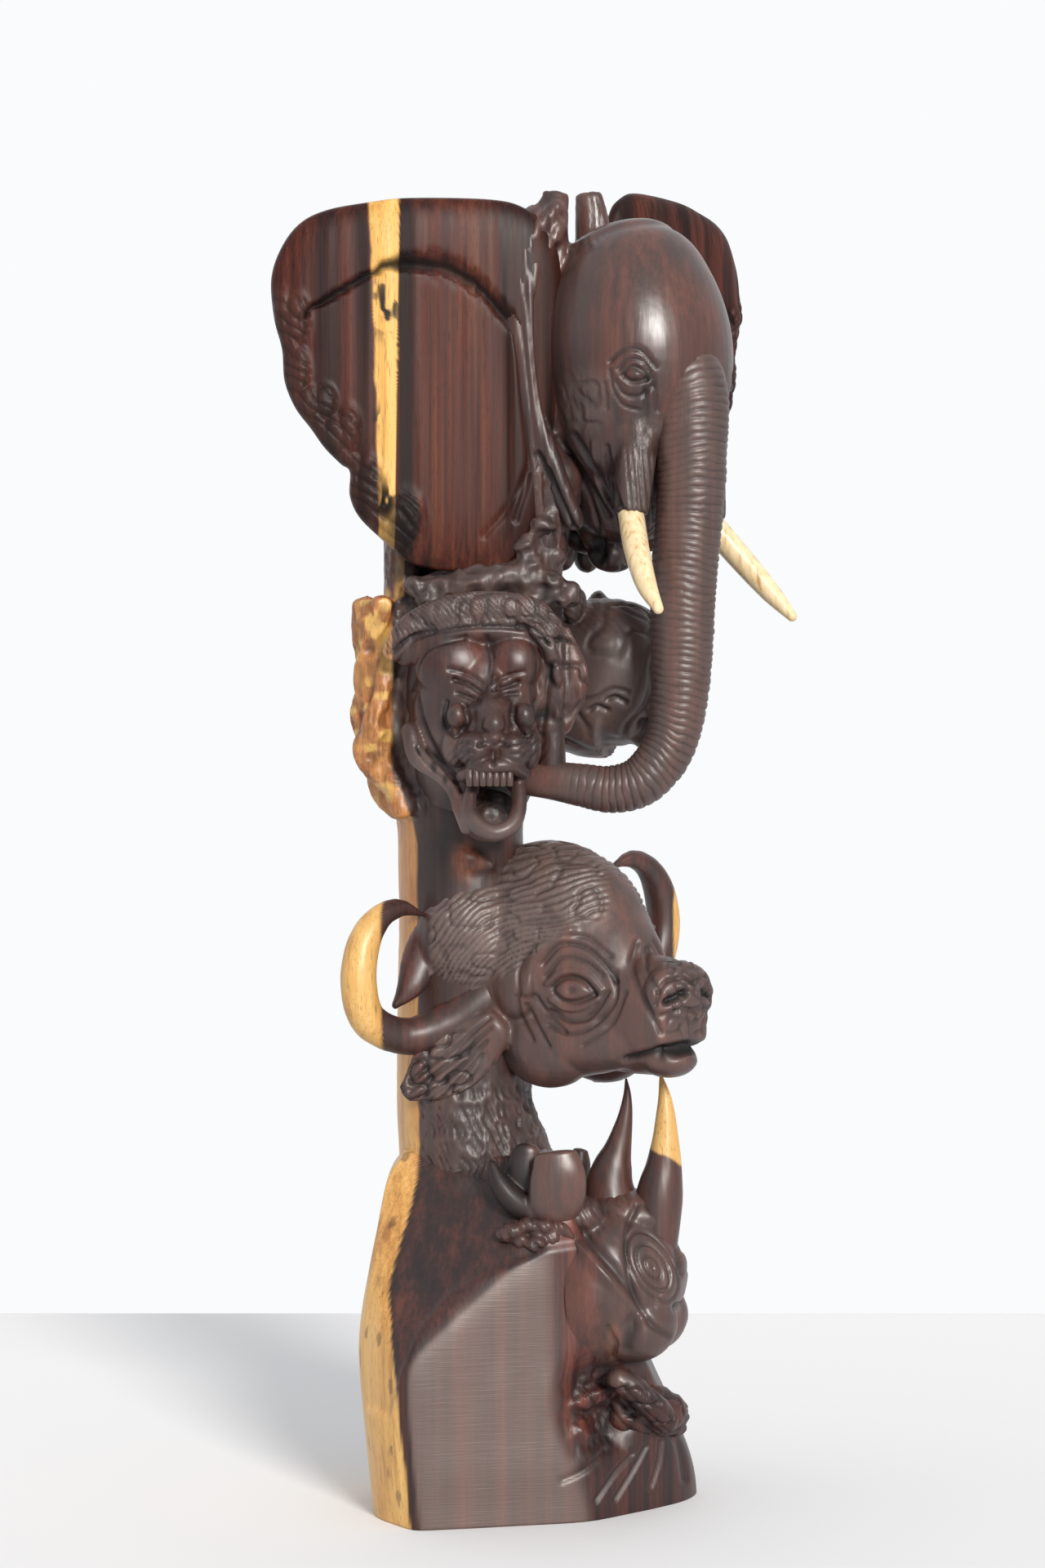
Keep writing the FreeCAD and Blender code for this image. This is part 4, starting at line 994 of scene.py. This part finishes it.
def ear(name, root, degrees, stretch, lift, pale_on):
    """Spokes run from a middle to a smooth outline, drawn as u across and w up. A front and a back skin part
    by a thickness that falls to nothing at the outline, as the square root of 1 less the eighth power of the
    way out, and the whole slab bows with the square of the distance from its root."""
    around, spokes, half_thick, bow = 600, 74, 5.5, -0.0004
    outline = smooth_path([(10, 110), (4, 128), (-4, 135), (-17, 138), (-48, 138), (-64, 136), (-79, 133),
                           (-89, 128), (-96, 119), (-100, 107), (-99, 92), (-96, 80), (-95, 68), (-91, 58),
                           (-85, 50), (-80, 43), (-74, 37), (-70.5, 34), (-70.5, 25), (-67, 17), (-59, 9),
                           (-52, 3), (-46, -1), (-31, -3.5), (-15, -3), (-5, 6), (2, 22), (8, 60)],
                          around, True)
    middle = np.array([-44.0, 74.0])
    outward = np.linspace(0, 1, spokes)[1:] ** 0.72
    flat = middle + outward[:, None, None] * (outline - middle)[None]
    edge = (outward[:, None] + np.zeros(around)).ravel()
    u, w = flat[..., 0].ravel(), flat[..., 1].ravel()
    q = np.stack([u, w, 0 * u], axis=1)

    # The fold: a torn step down along a curved line, and two soft valleys towards the root.
    fold_z = np.interp(u, [-88, -85, -63, -56, -46, -34, -24, -17, -9, -6],
                       [94, 97, 110, 114, 115, 113, 108, 101, 92, 80])
    under = ease(fold_z - w, 0, 3.5) * ease(-8 - u, 0, 4)
    step = np.abs(w - fold_z + 1.8 + 1.5 * wander(q, (3.2, 3.2, 3.2), 80))
    step = step / (0.6 + ease(u, -62, -44) * (0.6 + 0.8 * np.abs(wander(q, (3, 4, 3), 89))))
    fold = -1.8 * np.exp(-(step / 2.3) ** 2) * ease(u, -90, -84) * ease(-3 - u, 0, 4)
    valleys = [(1.3, 0.9, [(-8, 88), (-5, 60), (-3, 36), (-8, 16)]),
               (1.2, 0.8, [(-1, 40), (-10, 22), (-20, 10)])]
    relief = -1.2 * under + fold + cuts(u, w, valleys)

    # The rolled lip: a chain of lobes along the lower edge, with twisted strokes across them.
    lobes = np.zeros(len(u))
    for lobe in ((-91, 91, 5, 9), (-91, 71, 5, 10), (-87, 59, 5, 7), (-80, 60, 4, 6), (-77, 45, 5, 9),
                 (-71, 50, 4, 8), (-63, 27, 6, 11), (-65, 14, 5, 6), (-50, 16, 7, 10), (-55, 6, 6, 6)):
        lobes = np.maximum(lobes, knob(u, w, *lobe))
    lobes = np.maximum(lobes, 0.75 * ease(edge, 0.85, 0.93) * ease(-u, 46, 54) * ease(106 - w, 0, 10))
    twist = furrow(0.8 * u + w + 3 * wander(q, (8, 8, 8), 82), 5.0)
    relief += 2.6 * lobes - 0.75 * twist * ease(lobes, 0.1, 0.5) - 0.4 * lobes * np.abs(wander(q, 2.5, 84))
    relief += 0.18 * wander(q, (2.5, 60, 9), 83)

    # The two skins, joined at the outline and closed by a pole in the middle of each.
    thick = half_thick * (1 - edge ** 8) ** 0.5
    outward_way, towards = heading(degrees)
    through = -towards if degrees > 0 else towards
    spread = (ear_root_u - u) * stretch
    curl = bow * spread ** 2
    base = root + spread[:, None] * outward_way + (w + lift)[:, None] * np.array([0, 0, 1.0])
    front_side = base + through * (thick + relief * ease(thick, 0, 3) + curl)[:, None]
    back_side = base - through * (thick - curl + 0.3 * wander(q, 8, 84) * ease(thick, 0, 3))[:, None]
    reach = (ear_root_u - middle[0]) * stretch
    centre = root + reach * outward_way + np.array([0, 0, middle[1] + lift])
    sag = through * bow * reach ** 2
    rows = len(outward)
    back_rows = back_side.reshape(rows, around, 3)[:-1][::-1].reshape(-1, 3)
    points = np.vstack([centre + through * 4.3 + sag, front_side, back_rows, centre - through * 5.5 + sag])
    faces = ring_faces(2 * rows - 1, around)
    if np.cross(outward_way, [0, 0, 1]) @ through > 0:
        faces = [f[:, ::-1] for f in faces]

    def both(values, behind=1.0):
        """Values of the front skin, and the same times behind on the back skin, in the order of the points."""
        grid = np.broadcast_to(values, len(u)).reshape(rows, around)
        return np.concatenate([grid[:1, 0], grid.ravel(),
                               behind * grid[:-1][::-1].ravel(), behind * grid[:1, 0]])

    # The sapwood stripe with its smudges, the dark bands beside it, and the burnt hollows of the lip; painted
    # shade
    #     # along the trough of the fold and in the twisted strokes of the lip, and a painted grey sheen on the
    #     lip's lobes.
    left = np.interp(w, [-5, 28, 60, 138], [-59, -60.5, -61, -63.8]) + 0.9 * wander(q, (3, 6, 9), 85)
    right = np.interp(w, [0, 138], [-54.0, -52.0])
    stripe = ease(u - left, -0.7, 0.7) * ease(right - u, -0.3, 0.3) * pale_on
    smudge = ease(wander(q, (4, 9, 9), 86) + 0.9 * wander(q, (1.6, 3.5, 9), 87), 0.05, 0.35)
    smudge *= np.maximum(np.maximum(knob(u, w, -57, 97, 6, 13), knob(u, w, -57, 52, 6, 7)),
                         knob(u, w, -58, 22, 6, 9))
    burnt = 0.25 + 0.65 * knob(u, w, -50, 14, 8, 13) + 0.35 * knob(u, w, -63, 27, 7, 13)
    burnt = ease(lobes, 0.25, 0.6) * burnt
    # Painted shade along the trough of the fold.
    fold_shade = 0.75 * np.exp(-(step / 2.1) ** 2) * (fold < -0.3)
    bands = ease(u, -52.5, -51.5) * ease(-45 - u, 0, 3) + ease(u, -69, -67) * ease(-63 - u, 0, 2)
    inner = ease(u, -46, -43) * ease(-9 - u, 0, 6)
    warm = inner * ease(wander(q, (1.4, 80, 9), 90), -0.1, 0.5)
    red = 0.9 * inner + 0.2 * ease(-66 - u, 0, 6) + 0.15
    red *= 0.8 + 0.35 * wander(q, (5, 90, 9), 88)
    scorch = np.maximum(np.maximum(smudge, 0.42 * ease(u, -47, -43)), np.maximum(burnt, fold_shade))
    show(name, points, faces, ["elephant_" + name], material=dry_wood,
         pale=both(np.maximum(stripe, 0.16 * warm)), rust=both(1 - stripe),
         red=both(red * (1 - bands)), scorch=both(scorch, 0.3),
         groove=both(-0.45 * fold + 0.5 * lobes * twist + 0.35 * bands, 0.5), bloom=both(0.02 + 0.12 * lobes),
         chisel=both(0.5 * lobes + 0.3 * (fold < -0.4), 0))


ear_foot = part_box("elephant_ear_right")[0][2] * 1000 + 7
ear("ear_right", np.array([8.0, -15.0, ear_foot]), 172.0, 1.0, 0.0, 1.0)
ear("ear_left", np.array([28.0, 22.0, ear_foot]), -48.0, 0.8, 12.5, 0.0)


# ------------------------------------------------------------------ the tusks
# Two slightly bowed tusks of pale bone, turned smooth and glued into the fluted sheaths.
def bone(name):
    """Polished bone: cream, with fine lengthwise lines 2 mm apart that turn to brown pores where they are
    deepest, and a soft shine."""
    material = bpy.data.materials.new(name)
    material.use_nodes = True
    tree = material.node_tree
    shader = tree.nodes["Principled BSDF"].inputs
    place = add(tree, "TexCoord").outputs["Object"]
    stretched = add(tree, "Mapping", {"Scale": (500, 500, 70)}, {"Vector": place}).outputs[0]
    lines = add(tree, "TexNoise", {"Scale": 1.0, "Detail": 4.0}, {"Vector": stretched}).outputs[0]
    cream = ramp(tree, lines, [(0.28, "#b08a5a"), (0.40, "#d3b98e"), (0.60, "#decaa4")])
    scratches = add(tree, "Bump", {"Strength": 0.2, "Distance": 0.0003}, {"Height": lines}).outputs[0]
    tree.links.new(cream, shader["Base Color"])
    tree.links.new(scratches, shader["Normal"])
    shader["Roughness"].default_value = 0.38
    shader["Coat Weight"].default_value = 0.15
    return material


polished_bone = bone("polished pale bone")
forward, side = heading(skull_turn)
up = np.array([0, 0, 1.0])
for name, turn in (("right", 1), ("left", -1)):
    root = at(18, 22.1 * turn, -64)
    way = forward * 27 + side * 15 * turn - 35 * up
    way /= np.linalg.norm(way)
    bow = side * turn * 2.5 - 2.0 * up
    path = [root - way * 8, root, root + way * 16 + bow * 0.7, root + way * 34 + bow * 0.8, root + way * 49]
    points, faces = limb(path, [4.4, 4.9, 4.8, 3.9, 2.0], rows=90, around=48)
    show("tusk_" + name, points, faces, ["tusk_" + name], material=polished_bone, slot="tusk")
